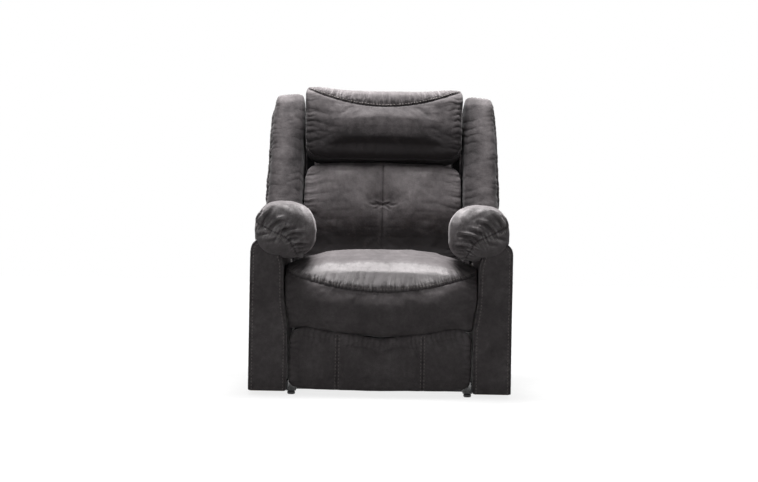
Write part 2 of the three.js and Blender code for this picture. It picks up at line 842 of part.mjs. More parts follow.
// A puffed cushion whose rear is flat where it lies on the frame.
function backCushion(front, bottom, top, roundness) {
  const halfDepth = (cushionBack - front) * 0.62;
  const middle = front + halfDepth;
  const body = puffed(backInnerWidth / 2, halfDepth, (top - bottom) / 2, roundness);
  body.translate(0, middle, (top + bottom) / 2);
  const region = block(-1000, 1000, -1000, cushionBack, -1000, 2000);
  return kept(body, region);
}

// The lumbar cushion fills the width between the wings, and below them the width between the arms.
function lumbarCushion() {
  const body = backCushion(lumbarFront, lumbarBottom, headBottom - clothGap, lumbarRoundness);
  const footTop = wingBottom - clothGap;
  const halfDepth = (cushionBack - lumbarFront) * 0.56;
  const foot = puffed(
    tightHalfGap - clothGap, halfDepth, (footTop - lumbarBottom) / 2, lumbarRoundness,
  );
  foot.translate(0, lumbarFront + lumbarFootSetback + halfDepth, (footTop + lumbarBottom) / 2);
  const region = block(-1000, 1000, -1000, cushionBack, -1000, 2000);
  return joined([body, kept(foot, region)]);
}

// A wing is a tall soft column beside the back, wider and fuller towards its foot.
function wing() {
  const innerX = backInnerWidth / 2 + clothGap;
  const count = 26;
  const stations = [
    { at: 0, size: 0.72 }, { at: 0.02, size: 0.88 }, { at: 0.07, size: 0.98 },
    { at: 0.3, size: 1 }, { at: 0.7, size: 1 }, { at: 0.92, size: 0.97 },
    { at: 0.975, size: 0.88 }, { at: 1, size: 0.66 },
  ];
  const bend = (value) => squared(value, 0.42);
  const rings = stations.map(({ at, size }) => {
    const z = THREE.MathUtils.lerp(wingBottom, wingTop, at);
    const outerX = THREE.MathUtils.lerp(wingBottomWidth, wingTopWidth, at) / 2;
    const frontY = wingFront + 34 * at;
    const centreX = (innerX + outerX) / 2;
    const centreY = (frontY + wingRear) / 2;
    return Array.from({ length: count }, (_, i) => {
      const angle = (i / count) * Math.PI * 2;
      const x = centreX + ((outerX - innerX) / 2) * size * bend(Math.cos(angle));
      const y = centreY + ((wingRear - frontY) / 2) * size * bend(Math.sin(angle));
      return new THREE.Vector3(x, y, z);
    });
  });
  return loft(rings, (point) => new THREE.Vector2(point.x, point.y));
}

// The outside back in (x, z): wide behind the wings, narrow where it passes between the arms.
function backOutline(inset) {
  const narrow = backCoverNarrowHalf - inset;
  const wide = wingTopWidth / 2 - inset;
  const bottom = backCoverBottom + inset;
  const top = wingTop - 4 - inset;
  const step = wingBottom + inset;
  return roundedOutline([
    [-narrow, bottom], [narrow, bottom], [narrow, step], [wide, step + 24],
    [wide, top], [-wide, top], [-wide, step + 24], [-narrow, step],
  ], 26);
}

function backCover() {
  const yFront = backRear - backCoverDepth;
  const outer = fromFront(backOutline(0), yFront, backCoverDepth);
  const hollow = fromFront(
    backOutline(backCoverSkin), yFront - 1, backCoverDepth - backCoverSkin + 1,
  );
  const wingRoom = block(
    backInnerWidth / 2, overallWidth, yFront - 1, wingRear + seatGap / 2, wingBottom - 40, wingTop + 50,
  );
  return cut(outer, [hollow, wingRoom, mirrored(wingRoom)]);
}

function addBack() {
  addPair('back_bracket', backBracket(), linkSteel, back);
  const sideBoard = roundedOutline([
    [postFront, postBottom], [postFront + 45, postBottom], [postRear, 150],
    [postRear, postTop - 40], [postRear - 30, postTop], [postFront, postTop],
  ], 10);
  const timberPost = fromSide(sideBoard, postInnerX, postOuterX - postInnerX);
  const pinRecess = rodAlongX(
    new THREE.Vector2(0, 0), pinHeadRadius + 1, postOuterX - pinHeadThickness - 2, postOuterX + 1,
  );
  const coverInnerX = backCoverNarrowHalf - backCoverSkin - seatGap;
  const coverRebate = block(
    coverInnerX, overallWidth, backRear - backCoverDepth - seatGap, overallWidth,
    postBottom - 1, wingBottom + 60,
  );
  addPair('back_post', cut(timberPost, [pinRecess, coverRebate]), timber, back);
  const between = postInnerX - seatGap;
  const railAt = (z) => fromSide(
    rectangleOutline(postFront, postFront + railDepth, z, z + railTall, 4), -between, 2 * between,
  );
  add('back_top_rail', railAt(postTop - railTall), timber, back);
  add('back_bottom_rail', railAt(postBottom + 96), timber, back);
  const lowest = 150;
  const highest = 540;
  for (let i = 0; i < webbingCount; i += 1) {
    const z = THREE.MathUtils.lerp(lowest, highest, i / (webbingCount - 1));
    add(`back_webbing_${i + 1}`, webbing(z), webbingWeave, back);
  }
  add('lumbar_cushion', lumbarCushion(), upholstery, back);
  add('headrest_pillow', backCushion(headFront, headBottom, headTop, headRoundness), upholstery, back);
  addPair('wing', wing(), upholstery, back);
  add('back_cover', backCover(), upholstery, back);
}

// ---- Footrest ------------------------------------------------------------------------

function footBracket() {
  const index = layer.bracket;
  const reach = footBoardBack + seatGap;
  const corners = [
    [reach, footPanelBottom + 40],
    [reach + 20, footPanelBottom + 40],
    [bracketPivot.x + 11, bracketPivot.y - 10],
    [bracketPivot.x + 9, bracketPivot.y + 8],
    [bracketGuide.x + 9, bracketGuide.y + 8],
    [bracketGuide.x - 7, bracketGuide.y + 9],
    [bracketGuide.x - 8, bracketGuide.y - 8],
    [reach, footPanelTop - 18],
  ];
  const web = fromSide(roundedOutline(corners, railCorner), layerLow(index), plateThickness);
  const flange = block(
    layerLow(index) - 22, layerHigh(index), reach, reach + 3,
    footPanelBottom + 44, footPanelTop - 24,
  );
  return cut(joined([web, flange]), [pinHole(bracketPivot, index), pinHole(bracketGuide, index)]);
}

function footBoard() {
  const half = armInnerX - clothGap - footBoardInset;
  const outline = rectangleOutline(
    -half, half, footPanelBottom + footBoardInset, footPanelTop - footBoardInset, 10,
  );
  return fromFront(outline, footBoardBack - footBoardThickness, footBoardThickness);
}

// The pad's upper edge follows the bow of the seat cushion's lower edge.
function footPad() {
  const half = armInnerX - clothGap;
  const height = footPanelTop - footPanelBottom;
  const back = footBoardBack - footBoardThickness - seatGap;
  const body = puffed(half, footPadThickness * 1.15, height / 2, 0.28);
  body.translate(0, back - footPadThickness + footPadThickness * 1.15, 0);
  const middle = (footPanelTop + footPanelBottom) / 2;
  const position = body.attributes.position;
  for (let i = 0; i < position.count; i += 1) {
    const bow = Math.max(0, position.getZ(i)) / (height / 2);
    position.setZ(i, position.getZ(i) + bow * (seatDropAt(position.getX(i)) - seatDropMiddle));
  }
  body.translate(0, 0, middle);
  return kept(body, block(-1000, 1000, -1000, back, -1000, 1000));
}

function addFootrest() {
  const { footLinks, longLinks, bracket } = layer;
  const frontLink = steelLink(frontPivot, frontElbow, footLinks, [frontPivot], [
    pivotPin(frontElbow, footLinks, longLinks),
    pivotPin(upperElbow, footLinks, longLinks),
  ]);
  addPair('foot_front_link', frontLink, linkSteel);
  const rearLink = steelLink(rearPivot, rearElbow, footLinks, [rearPivot], [
    pivotPin(rearElbow, footLinks, longLinks),
  ]);
  addPair('foot_rear_link', rearLink, linkSteel);
  const longLink = steelLink(rearElbow, bracketPivot, longLinks, [rearElbow, frontElbow], [
    pivotPin(bracketPivot, longLinks, bracket),
  ]);
  addPair('foot_long_link', longLink, linkSteel);
  const lowerLink = steelLink(upperElbow, bracketGuide, longLinks, [upperElbow], [
    pivotPin(bracketGuide, longLinks, bracket),
  ]);
  addPair('foot_guide_link', lowerLink, linkSteel);
  const tubeEnd = layerLow(footLinks) - seatGap;
  add('foot_torque_tube', rodAlongX(tubeCentre, torqueTubeRadius, -tubeEnd, tubeEnd), linkSteel);
  addPair('foot_bracket', footBracket(), linkSteel);
  add('foot_board', footBoard(), timber);
  add('foot_pad', footPad(), upholstery);
}

addBase();
addArms();
addRelease();
addSeat();
addBack();
addFootrest();

export default chair;
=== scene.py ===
"""A family recliner armchair: its covers, padding, stitching, timber and steel linkage, and the room it is shown in."""

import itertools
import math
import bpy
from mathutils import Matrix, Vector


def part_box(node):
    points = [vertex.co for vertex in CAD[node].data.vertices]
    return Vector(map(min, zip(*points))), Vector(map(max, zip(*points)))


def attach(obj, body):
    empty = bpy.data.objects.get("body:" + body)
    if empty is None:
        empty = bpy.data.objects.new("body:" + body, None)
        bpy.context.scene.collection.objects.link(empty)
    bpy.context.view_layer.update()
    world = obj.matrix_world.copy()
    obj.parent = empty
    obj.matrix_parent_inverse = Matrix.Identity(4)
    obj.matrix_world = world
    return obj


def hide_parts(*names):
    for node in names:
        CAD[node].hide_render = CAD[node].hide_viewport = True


bl_info = {
    "name": "Recliner Armchair",
    "version": (1, 0, 0),
    "blender": (4, 5, 0),
    "location": "View3D > Sidebar > Recliner",
    "description": "Upholsters the recliner's frame and sets the stage round it",
    "category": "Object",
}

import bmesh
import bpy
import numpy as np
from bpy.props import FloatProperty, FloatVectorProperty, IntProperty, PointerProperty
from mathutils import Vector
from mathutils.bvhtree import BVHTree
from mathutils.kdtree import KDTree

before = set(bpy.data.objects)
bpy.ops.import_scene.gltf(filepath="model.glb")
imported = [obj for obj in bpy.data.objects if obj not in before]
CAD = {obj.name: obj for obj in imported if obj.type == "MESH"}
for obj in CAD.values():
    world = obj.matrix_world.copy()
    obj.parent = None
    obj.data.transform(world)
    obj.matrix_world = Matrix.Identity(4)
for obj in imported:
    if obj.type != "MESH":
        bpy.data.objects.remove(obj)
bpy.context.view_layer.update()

MM = 0.001
SIDES = {"left": -1, "right": 1}
BACK_HINGE = Vector((0, 0.225, 0.330))
BACK_LEAN = math.radians(12)
ROWS = {}


def tone(hex_colour):
    """An sRGB hex colour as linear red, green, blue and alpha."""
    parts = [int(hex_colour[at : at + 2], 16) / 255 for at in (1, 3, 5)]
    linear = [part / 12.92 if part <= 0.04045 else ((part + 0.055) / 1.055) ** 2.4 for part in parts]
    return (*linear, 1.0)


def colour_choice(name, hex_colour, description):
    """A colour that the user can change."""
    return FloatVectorProperty(
        name=name, description=description, subtype="COLOR", size=4, min=0, max=1, default=tone(hex_colour)
    )


def length_choice(name, millimetres, description):
    """A length that the user can change, given in millimetres."""
    return FloatProperty(
        name=name, description=description, default=millimetres * MM, min=0, unit="LENGTH", precision=4
    )


class RECLINER_PG_finishes(bpy.types.PropertyGroup):
    """Colours of the covers, thread, timber, steel and plastic."""

    # painted shadow: the darkest cover colour, for the most shaded places, such as the back cushions' lower faces
    cover_painted_shadow: colour_choice("Cover, deep", "#2b2829", "Microsuede brushed flat under a cushion")
    # painted shade as well as the cloth's own darker mottle
    cover_shade: colour_choice("Cover, shade", "#474344", "Microsuede where the nap lies down")
    cover_body: colour_choice("Cover, body", "#686364", "Microsuede's own charcoal")
    # the cloth's own paler mottle as well as painted highlight
    cover_bloom_and_painted_highlight: colour_choice("Cover, bloom", "#8c8788", "Microsuede where the nap is brushed up")
    # painted highlight: the palest cover colour, where crests and upper faces are painted palest
    cover_sheen: colour_choice("Cover, sheen", "#c2bdbe", "Microsuede stretched over a full crest")
    thread: colour_choice("Thread", "#b5ada9", "Bonded nylon topstitch thread")
    pine: colour_choice("Pine, early wood", "#c9a878", "Pale wood between the rings")
    pine_ring: colour_choice("Pine, late wood", "#a67c4b", "Darker wood of the rings")
    coated_steel: colour_choice("Coated steel", "#2b2c2e", "Electro-coated linkage plate")
    bare_steel: colour_choice("Bare steel", "#a8a9ab", "Spring wire")
    web: colour_choice("Webbing", "#3a3632", "Elastic seat webbing")
    web_line: colour_choice("Webbing line", "#8a3b32", "Coloured line woven along the webbing")
    black_plastic: colour_choice("Plastic", "#161617", "Moulded black plastic")


class RECLINER_PG_padding(bpy.types.PropertyGroup):
    """How the padded pieces are filled."""

    slack: length_choice("Slack", 9, "How far a piece starts inside its finished size")
    slide: length_choice("Slide", 4, "The furthest that the cover may shift along the surface while the piece fills")
    pressure: FloatProperty(name="Pressure", description="Pressure of the filling", default=4.0, min=0)
    steps: IntProperty(name="Steps", description="Frames that the filling is given", default=16, min=2)


class RECLINER_PG_stitching(bpy.types.PropertyGroup):
    """The topstitch rows."""

    pitch: length_choice("Stitch pitch", 10.5, "From one stitch to the next, drawn a little coarse so that it shows")
    length: length_choice("Stitch length", 6.6, "Thread seen above the cover in one stitch")
    thickness: length_choice("Thread thickness", 2.0, "Heavy topstitch thread, drawn a little coarse")
    setback: length_choice("Setback", 7, "From a seam to its topstitch row")


class RECLINER_PG_stage(bpy.types.PropertyGroup):
    """Camera and light."""

    lens: FloatProperty(name="Lens", description="Focal length in millimetres", default=87.6, min=10)
    eye: length_choice("Eye height", 550, "Camera height above the floor")
    distance: length_choice("Distance", 6470, "Camera distance in front of the arms' middle")
    tilt: FloatProperty(name="Tilt", description="Camera tilt below level", default=math.radians(0.39), subtype="ANGLE")
    roll: FloatProperty(name="Roll", description="Camera roll", default=math.radians(-1.05), subtype="ANGLE")
    top_light: FloatProperty(name="Top light", description="Power of the soft box above", default=135.0, min=0)
    front_light: FloatProperty(name="Front light", description="Power of the soft box in front", default=9.0, min=0)
    fill: FloatProperty(name="Fill", description="Strength of the even light all round", default=0.05, min=0)


# ---------------------------------------------------------------- materials


def add(tree, kind, inputs=None, stops=(), **settings):
    """A node with its settings, its values and links, and a colour ramp's stops as (place, colour)."""
    made = tree.nodes.new(kind)
    for name, value in settings.items():
        setattr(made, name, value)
    for name, value in (inputs or {}).items():
        if isinstance(value, bpy.types.NodeSocket):
            tree.links.new(value, made.inputs[name])
        else:
            made.inputs[name].default_value = value
    if stops:
        marks = made.color_ramp.elements
        marks[0].position, marks[0].color = stops[0]
        marks[1].position, marks[1].color = stops[-1]
        for place, colour in stops[1:-1]:
            marks.new(place).color = colour
    return made


def sized(millimetres):
    """The texture scale at which one pattern cell is this many millimetres."""
    return 1 / (millimetres * MM)


# at a scale of 1, a wave texture has a band every tau / 20 metres
BAND = math.tau / 20


def begin(name):
    """An empty material, its node tree, and the piece's own coordinates."""
    material = bpy.data.materials.new(name)
    material.use_nodes = True
    tree = material.node_tree
    tree.nodes.clear()
    place = add(tree, "ShaderNodeTexCoord").outputs["Object"]
    return material, tree, place


def weighed(tree, value, weight, total):
    """total plus (value - 0.5) times weight."""
    centred = add(tree, "ShaderNodeMath", {0: value, 1: 0.5}, operation="SUBTRACT").outputs[0]
    return add(tree, "ShaderNodeMath", {0: centred, 1: weight, 2: total}, operation="MULTIPLY_ADD").outputs[0]


def surfaced(tree, inputs):
    """The shader and its output."""
    shader = add(tree, "ShaderNodeBsdfPrincipled", inputs)
    add(tree, "ShaderNodeOutputMaterial", {"Surface": shader.outputs["BSDF"]})


def microsuede(finishes):
    """Brushed polyester microsuede over foam: matt, with a cloudy two-tone nap and a soft sheen at grazing angles,
    and painted shade and painted highlight from the pieces' folds, seams and lower and upper faces."""
    material, tree, place = begin("charcoal_microsuede")
    # the nap clouds over at about a hand's width, a thumb's width and a few millimetres; a suede nap is about
    # 0.3 mm, and is drawn at 2.6 mm so that it shows
    sizes = ((95, 3.0, 0.6), (21, 4.0, 0.65), (2.6, 2.0, 0.7), (34, 2.0, 0.5))
    clouds = [{"Vector": place, "Scale": sized(cell), "Detail": fine, "Roughness": soft} for cell, fine, soft in sizes]
    cloud, thumb, nap, drape = (add(tree, "ShaderNodeTexNoise", inputs).outputs["Fac"] for inputs in clouds)
    kept = ("relief", "seam_run", "seam_pull")
    relief, run, pull = (add(tree, "ShaderNodeAttribute", attribute_name=name).outputs["Fac"] for name in kept)
    total = 0.5
    for value, weight in ((cloud, 0.55), (thumb, 0.42), (nap, 0.34)):
        total = weighed(tree, value, weight, total)
    # the pieces' painted shade and painted highlight, from their folds, seams and nap, move the colour along the ramp
    total = add(tree, "ShaderNodeMath", {0: total, 1: relief}, operation="ADD").outputs[0]
    # the finest folds beside a seam, about 6 mm apart, run away from it and fade out with its pull; they are bumped,
    # and also painted into the colour, with painted shade in their valleys and painted highlight on their crests
    pitch = add(tree, "ShaderNodeMath", {0: run, 1: sized(11)}, operation="MULTIPLY").outputs[0]
    spot = add(tree, "ShaderNodeCombineXYZ", {"X": pitch, "Y": pull}).outputs["Vector"]
    folds = add(tree, "ShaderNodeTexNoise", {"Vector": spot, "Scale": 1.0, "Detail": 1.0}, noise_dimensions="2D")
    crest = add(tree, "ShaderNodeMath", {0: folds.outputs["Fac"], 1: 0.5}, operation="SUBTRACT").outputs[0]
    crest = add(tree, "ShaderNodeMath", {0: crest}, operation="ABSOLUTE").outputs[0]
    crest = add(tree, "ShaderNodeMath", {0: crest, 1: 0.09}, operation="SUBTRACT").outputs[0]
    pleat = add(tree, "ShaderNodeMath", {0: crest, 1: pull}, operation="MULTIPLY").outputs[0]
    total = add(tree, "ShaderNodeMath", {0: pleat, 1: 1.1, 2: total}, operation="MULTIPLY_ADD").outputs[0]
    # the ramp runs from painted shadow, through the cloth's own charcoal, to painted highlight
    shades = [getattr(finishes, "cover_" + name) for name in ("painted_shadow", "shade", "body", "bloom_and_painted_highlight", "sheen")]
    colour = add(tree, "ShaderNodeValToRGB", {"Fac": total}, list(zip((0.0, 0.2, 0.5, 0.8, 1.0), shades)))
    rough = add(tree, "ShaderNodeMapRange", {"Value": thumb, "To Min": 0.58, "To Max": 0.82})
    normal = add(tree, "ShaderNodeBump", {"Height": drape, "Strength": 0.5, "Distance": 3.2 * MM}).outputs["Normal"]
    for height, strength, depth in ((nap, 0.55, 0.45), (pleat, 1.0, 9)):
        inputs = {"Height": height, "Strength": strength, "Distance": depth * MM, "Normal": normal}
        normal = add(tree, "ShaderNodeBump", inputs).outputs["Normal"]
    surfaced(
        tree,
        {
            "Base Color": colour.outputs["Color"],
            "Roughness": rough.outputs["Result"],
            "Specular IOR Level": 0.14,
            "Sheen Weight": 0.22,
            "Sheen Roughness": 0.45,
            "Sheen Tint": tone("#cccacb"),
            "Normal": normal,
        },
    )
    return material


def bonded_thread(finishes):
    """Bonded nylon thread: a twisted, slightly waxy cord."""
    material, tree, place = begin("bonded_nylon_thread")
    # the plies' twist shows every 2 to 4 mm along the thread, a little coarse
    inputs = {"Vector": place, "Scale": BAND * sized(1.885), "Distortion": 1.0, "Detail": 1.0}
    twist = add(tree, "ShaderNodeTexWave", inputs, wave_type="BANDS", bands_direction="DIAGONAL").outputs["Fac"]
    # painted shade in the grooves between the plies: the twist's low places are drawn darker
    tinted = {"Factor": twist, "A": tone("#7d7572"), "B": finishes.thread}
    colour = add(tree, "ShaderNodeMix", tinted, data_type="RGBA").outputs["Result"]
    bump = add(tree, "ShaderNodeBump", {"Height": twist, "Strength": 0.4, "Distance": 0.2 * MM}).outputs["Normal"]
    surfaced(tree, {"Base Color": colour, "Roughness": 0.55, "Sheen Weight": 0.2, "Normal": bump})
    return material


def sawn_pine(finishes, grain_along):
    """Planed softwood rail: growth rings a few millimetres apart, drawn out along the piece."""
    material, tree, place = begin("planed_pine_" + "xyz"[grain_along])
    squeeze = [1.0, 1.0, 1.0]
    squeeze[grain_along] = 0.07
    laid = add(tree, "ShaderNodeMapping", {"Vector": place, "Scale": squeeze}).outputs["Vector"]
    inputs = {"Vector": laid, "Scale": sized(26), "Detail": 2.0, "Roughness": 0.4, "Distortion": 0.6}
    rings = add(tree, "ShaderNodeTexNoise", inputs).outputs["Fac"]
    # rings about 4 mm apart
    lines = add(tree, "ShaderNodeMath", {0: rings, 1: 34.0}, operation="MULTIPLY").outputs[0]
    wave = add(tree, "ShaderNodeMath", {0: lines}, operation="SINE").outputs[0]
    fibre = add(tree, "ShaderNodeTexNoise", {"Vector": laid, "Scale": sized(1.4), "Detail": 3.0}).outputs["Fac"]
    total = add(tree, "ShaderNodeMath", {0: wave, 1: 0.28, 2: 0.5}, operation="MULTIPLY_ADD").outputs[0]
    stops = [(0.1, finishes.pine_ring), (0.6, finishes.pine), (0.95, tone("#dcc092"))]
    colour = add(tree, "ShaderNodeValToRGB", {"Fac": weighed(tree, fibre, 0.5, total)}, stops).outputs["Color"]
    bump = add(tree, "ShaderNodeBump", {"Height": fibre, "Strength": 0.35, "Distance": 0.4 * MM}).outputs["Normal"]
    surfaced(tree, {"Base Color": colour, "Roughness": 0.62, "Normal": bump})
    return material


def coated_plate(finishes):
    """Pressed steel plate with a black electro-coat: a thin satin film with a faint ripple, paler in rubbed patches at
    random.
    """
    material, tree, place = begin("electrocoated_steel")
    # the press tool leaves faint streaks a few millimetres wide
    inputs = {"Vector": place, "Scale": sized(7), "Detail": 4.0, "Roughness": 0.7}
    streak = add(tree, "ShaderNodeTexNoise", inputs).outputs["Fac"]
    inputs = {"Vector": place, "Scale": sized(30), "Detail": 5.0, "Roughness": 0.7}
    rub = add(tree, "ShaderNodeTexNoise", inputs).outputs["Fac"]
    stops = [(0.3, tone("#202123")), (0.56, finishes.coated_steel), (0.78, tone("#4a4b4d"))]
    colour = add(tree, "ShaderNodeValToRGB", {"Fac": rub}, stops)
    rough = add(tree, "ShaderNodeMapRange", {"Value": streak, "To Min": 0.32, "To Max": 0.55})
    bump = add(tree, "ShaderNodeBump", {"Height": streak, "Strength": 0.25, "Distance": 0.2 * MM})
    surfaced(
        tree,
        {
            "Base Color": colour.outputs["Color"],
            "Roughness": rough.outputs["Result"],
            "Metallic": 0.35,
            "Coat Weight": 0.2,
            "Coat Roughness": 0.3,
            "Normal": bump.outputs["Normal"],
        },
    )
    return material


def drawn_wire(finishes):
    """Drawn spring wire: bright, with fine die lines and a light oil film."""
    material, tree, place = begin("drawn_spring_wire")
    # die lines are hair fine; they are drawn at 1 mm
    lines = add(tree, "ShaderNodeTexNoise", {"Vector": place, "Scale": sized(1.0), "Detail": 3.0}).outputs["Fac"]
    patch = add(tree, "ShaderNodeTexNoise", {"Vector": place, "Scale": sized(18), "Detail": 3.0}).outputs["Fac"]
    colour = add(tree, "ShaderNodeValToRGB", {"Fac": patch}, [(0.35, tone("#7c7b79")), (0.65, finishes.bare_steel)])
    rough = add(tree, "ShaderNodeMapRange", {"Value": lines, "To Min": 0.22, "To Max": 0.42}).outputs["Result"]
    surfaced(tree, {"Base Color": colour.outputs["Color"], "Roughness": rough, "Metallic": 1.0})
    return material


def elastic_webbing(finishes):
    """Elastic upholstery webbing: woven, softly ribbed across, with a coloured line along it."""
    material, tree, place = begin("elastic_webbing")
    inputs = {"Vector": place, "Scale": BAND * sized(15.708), "Distortion": 0.6, "Detail": 2.0, "Detail Scale": 2.0}
    ribs = add(tree, "ShaderNodeTexWave", inputs, wave_type="BANDS", bands_direction="X").outputs["Fac"]
    weave = add(tree, "ShaderNodeTexNoise", {"Vector": place, "Scale": sized(2.2), "Detail": 2.0}).outputs["Fac"]
    inputs = {"Vector": place, "Scale": BAND * sized(138.23), "Distortion": 0.0}
    stripe = add(tree, "ShaderNodeTexWave", inputs, wave_type="BANDS", bands_direction="Z").outputs["Fac"]
    stops = [(0.90, tone("#000000")), (0.94, tone("#ffffff"))]
    line = add(tree, "ShaderNodeValToRGB", {"Fac": stripe}, stops).outputs["Color"]
    inputs = {"Factor": weave, "A": tone("#2b2825"), "B": finishes.web}
    plain = add(tree, "ShaderNodeMix", inputs, data_type="RGBA").outputs["Result"]
    inputs = {"Factor": line, "A": plain, "B": finishes.web_line}
    colour = add(tree, "ShaderNodeMix", inputs, data_type="RGBA").outputs["Result"]
    bump = add(tree, "ShaderNodeBump", {"Height": ribs, "Strength": 0.6, "Distance": 0.8 * MM}).outputs["Normal"]
    surfaced(tree, {"Base Color": colour, "Roughness": 0.8, "Normal": bump})
    return material


def black_cambric():
    """Black cambric stapled round the boards of the back and the footrest: a thin, dull, plain-woven dust cloth."""
    material, tree, place = begin("black_cambric")
    # the threads are about 0.5 mm apart; the weave is drawn at 12.6 mm
    inputs = {"Vector": place, "Scale": BAND * sized(12.566), "Distortion": 0.8, "Detail": 1.0}
    warp, weft = (
        add(tree, "ShaderNodeTexWave", inputs, wave_type="BANDS", bands_direction=way).outputs["Fac"] for way in "YZ"
    )
    weave = add(tree, "ShaderNodeMath", {0: warp, 1: weft}, operation="MULTIPLY").outputs[0]
    colour = add(tree, "ShaderNodeValToRGB", {"Fac": weave}, [(0.0, tone("#0f0f10")), (1.0, tone("#1e1d1e"))])
    bump = add(tree, "ShaderNodeBump", {"Height": weave, "Strength": 0.4, "Distance": 0.3 * MM}).outputs["Normal"]
    surfaced(tree, {"Base Color": colour.outputs["Color"], "Roughness": 0.92, "Normal": bump})
    return material


def moulded_plastic(finishes, name, pattern, roughness):
    """Injection-moulded black plastic with a spark-eroded texture."""
    material, tree, place = begin(name)
    inputs = {"Vector": place, "Scale": sized(pattern), "Detail": 3.0, "Roughness": 0.6}
    spark = add(tree, "ShaderNodeTexNoise", inputs).outputs["Fac"]
    inputs = {"Factor": spark, "A": finishes.black_plastic, "B": tone("#262627")}
    colour = add(tree, "ShaderNodeMix", inputs, data_type="RGBA").outputs["Result"]
    inputs = {"Value": spark, "To Min": roughness - 0.08, "To Max": roughness + 0.1}
    rough = add(tree, "ShaderNodeMapRange", inputs).outputs["Result"]
    bump = add(tree, "ShaderNodeBump", {"Height": spark, "Strength": 0.4, "Distance": 0.25 * MM}).outputs["Normal"]
    surfaced(tree, {"Base Color": colour, "Roughness": rough, "Normal": bump})
    return material


def material_called(name, make, *choices):
    """A material, made the first time it is asked for."""
    return bpy.data.materials.get(name) or make(*choices)


def dressed(piece, material):
    """Gives the piece one material in its one slot."""
    piece.data.materials.clear()
    piece.data.materials.append(material)


# ---------------------------------------------------------------- padded pieces


def linked(name, mesh):
    """A new object for a mesh, at the origin."""
    piece = bpy.data.objects.new(name, mesh)
    bpy.context.scene.collection.objects.link(piece)
    return piece


def copied(node, name):
    """A welded copy of a frame solid as a new object."""
    work = bmesh.new()
    work.from_mesh(CAD[node].data)
    bmesh.ops.remove_doubles(work, verts=work.verts, dist=0.02 * MM)
    mesh = bpy.data.meshes.new(name)
    work.to_mesh(mesh)
    work.free()
    return linked(name, mesh)


def settled(piece):
    """The piece with its modifiers worked into its mesh."""
    bpy.context.view_layer.update()
    graph = bpy.context.evaluated_depsgraph_get()
    mesh = bpy.data.meshes.new_from_object(piece.evaluated_get(graph), depsgraph=graph)
    piece.modifiers.clear()
    old = piece.data
    piece.data = mesh
    bpy.data.meshes.remove(old)
    piece.data.name = piece.name
    return piece


def evened(piece, step):
    """The piece on an even net of points, step apart."""
    net = piece.modifiers.new("Even net", "REMESH")
    net.mode = "VOXEL"
    net.voxel_size = step
    net.use_smooth_shade = True
    return settled(piece)


def halved(piece):
    """The piece with each face parted in four and smoothed."""
    finer = piece.modifiers.new("Finer", "SUBSURF")
    finer.levels = finer.render_levels = 1
    return settled(piece)


def evened_out(piece, rounds):
    """The piece with its points drawn towards their neighbours."""
    smooth = piece.modifiers.new("Even out", "SMOOTH")
    smooth.iterations = rounds
    return settled(piece)


def places(piece):
    """The piece's points, as rows of x, y and z."""
    flat = np.empty(len(piece.data.vertices) * 3)
    piece.data.vertices.foreach_get("co", flat)
    return flat.reshape(-1, 3)


def outwards(piece):
    """The outward direction at each of the piece's points."""
    flat = np.empty(len(piece.data.vertices) * 3)
    piece.data.vertex_normals.foreach_get("vector", flat)
    return flat.reshape(-1, 3)


def set_places(piece, points):
    """Moves the piece's points."""
    piece.data.vertices.foreach_set("co", points.ravel())
    piece.data.update()


def blurred(piece, values, rounds):
    """Values at the piece's points, evened out with their neighbours."""
    ends = np.empty(len(piece.data.edges) * 2, int)
    piece.data.edges.foreach_get("vertices", ends)
    first, second = ends.reshape(-1, 2).T
    count = np.bincount(first, minlength=len(values)) + np.bincount(second, minlength=len(values)) + 1
    for _ in range(rounds):
        total = values + np.bincount(first, values[second], len(values))
        values = (total + np.bincount(second, values[first], len(values))) / count
    return values


def kept_near(piece, before, facing, room, dent, slide):
    """Limits how far each point has moved: out by its room, in by its dent, and along the surface by slide."""
    room, dent = blurred(piece, room, 8), blurred(piece, dent, 4)
    moved = places(piece) - before
    out = (moved * facing).sum(axis=1)
    along = moved - out[:, None] * facing
    length = np.maximum(np.linalg.norm(along, axis=1), 1e-9)
    along *= np.minimum(1.0, slide / length)[:, None]
    out = np.clip(out, -dent, room)
    set_places(piece, before + along + out[:, None] * facing)
    evened_out(piece, 1)


def distances(points, paths, reach):
    """Each point's distance to the nearest of the paths, how far along the path that is, and the place there."""
    knots, lengths = [], []
    for path in paths:
        so_far = 0.0
        for knot, before in zip(path, path[:1] + path):
            so_far += (knot - before).length
            knots.append(knot)
            lengths.append(so_far)
    tree = KDTree(len(knots))
    for index, knot in enumerate(knots):
        tree.insert(knot, index)
    tree.balance()
    inside = np.all((points > np.min(knots, axis=0) - reach) & (points < np.max(knots, axis=0) + reach), axis=1)
    away = np.full(len(points), 1e3)
    along = np.zeros(len(points))
    nearest = np.zeros((len(points), 3))
    for index in np.flatnonzero(inside):
        nearest[index], number, away[index] = tree.find(points[index])
        along[index] = lengths[number]
    return away, along, nearest


def fine_line(corners, step=2 * MM):
    """A smooth line through the corners, with a point every step."""
    knots = [Vector(corner) for corner in corners]
    knots = [knots[0] * 2 - knots[1]] + knots + [knots[-1] * 2 - knots[-2]]
    line = []
    for a, b, c, d in zip(knots, knots[1:], knots[2:], knots[3:]):
        count = max(2, int((c - b).length / step))
        for index in range(count):
            t = index / count
            curve = (2 * a - 5 * b + 4 * c - d) * t * t + (3 * b - a - 3 * c + d) * t**3
            line.append(0.5 * (2 * b + (c - a) * t + curve))
    return line + [knots[-2]]


def random_line(t, seed):
    """A smooth random line along t, from 0 to 1, the same on every run."""
    table = np.random.RandomState(seed).rand(997)
    cell = np.floor(t).astype(int)
    part = t - cell
    part = part * part * (3 - 2 * part)
    return table[cell % 997] * (1 - part) + table[(cell + 1) % 997] * part


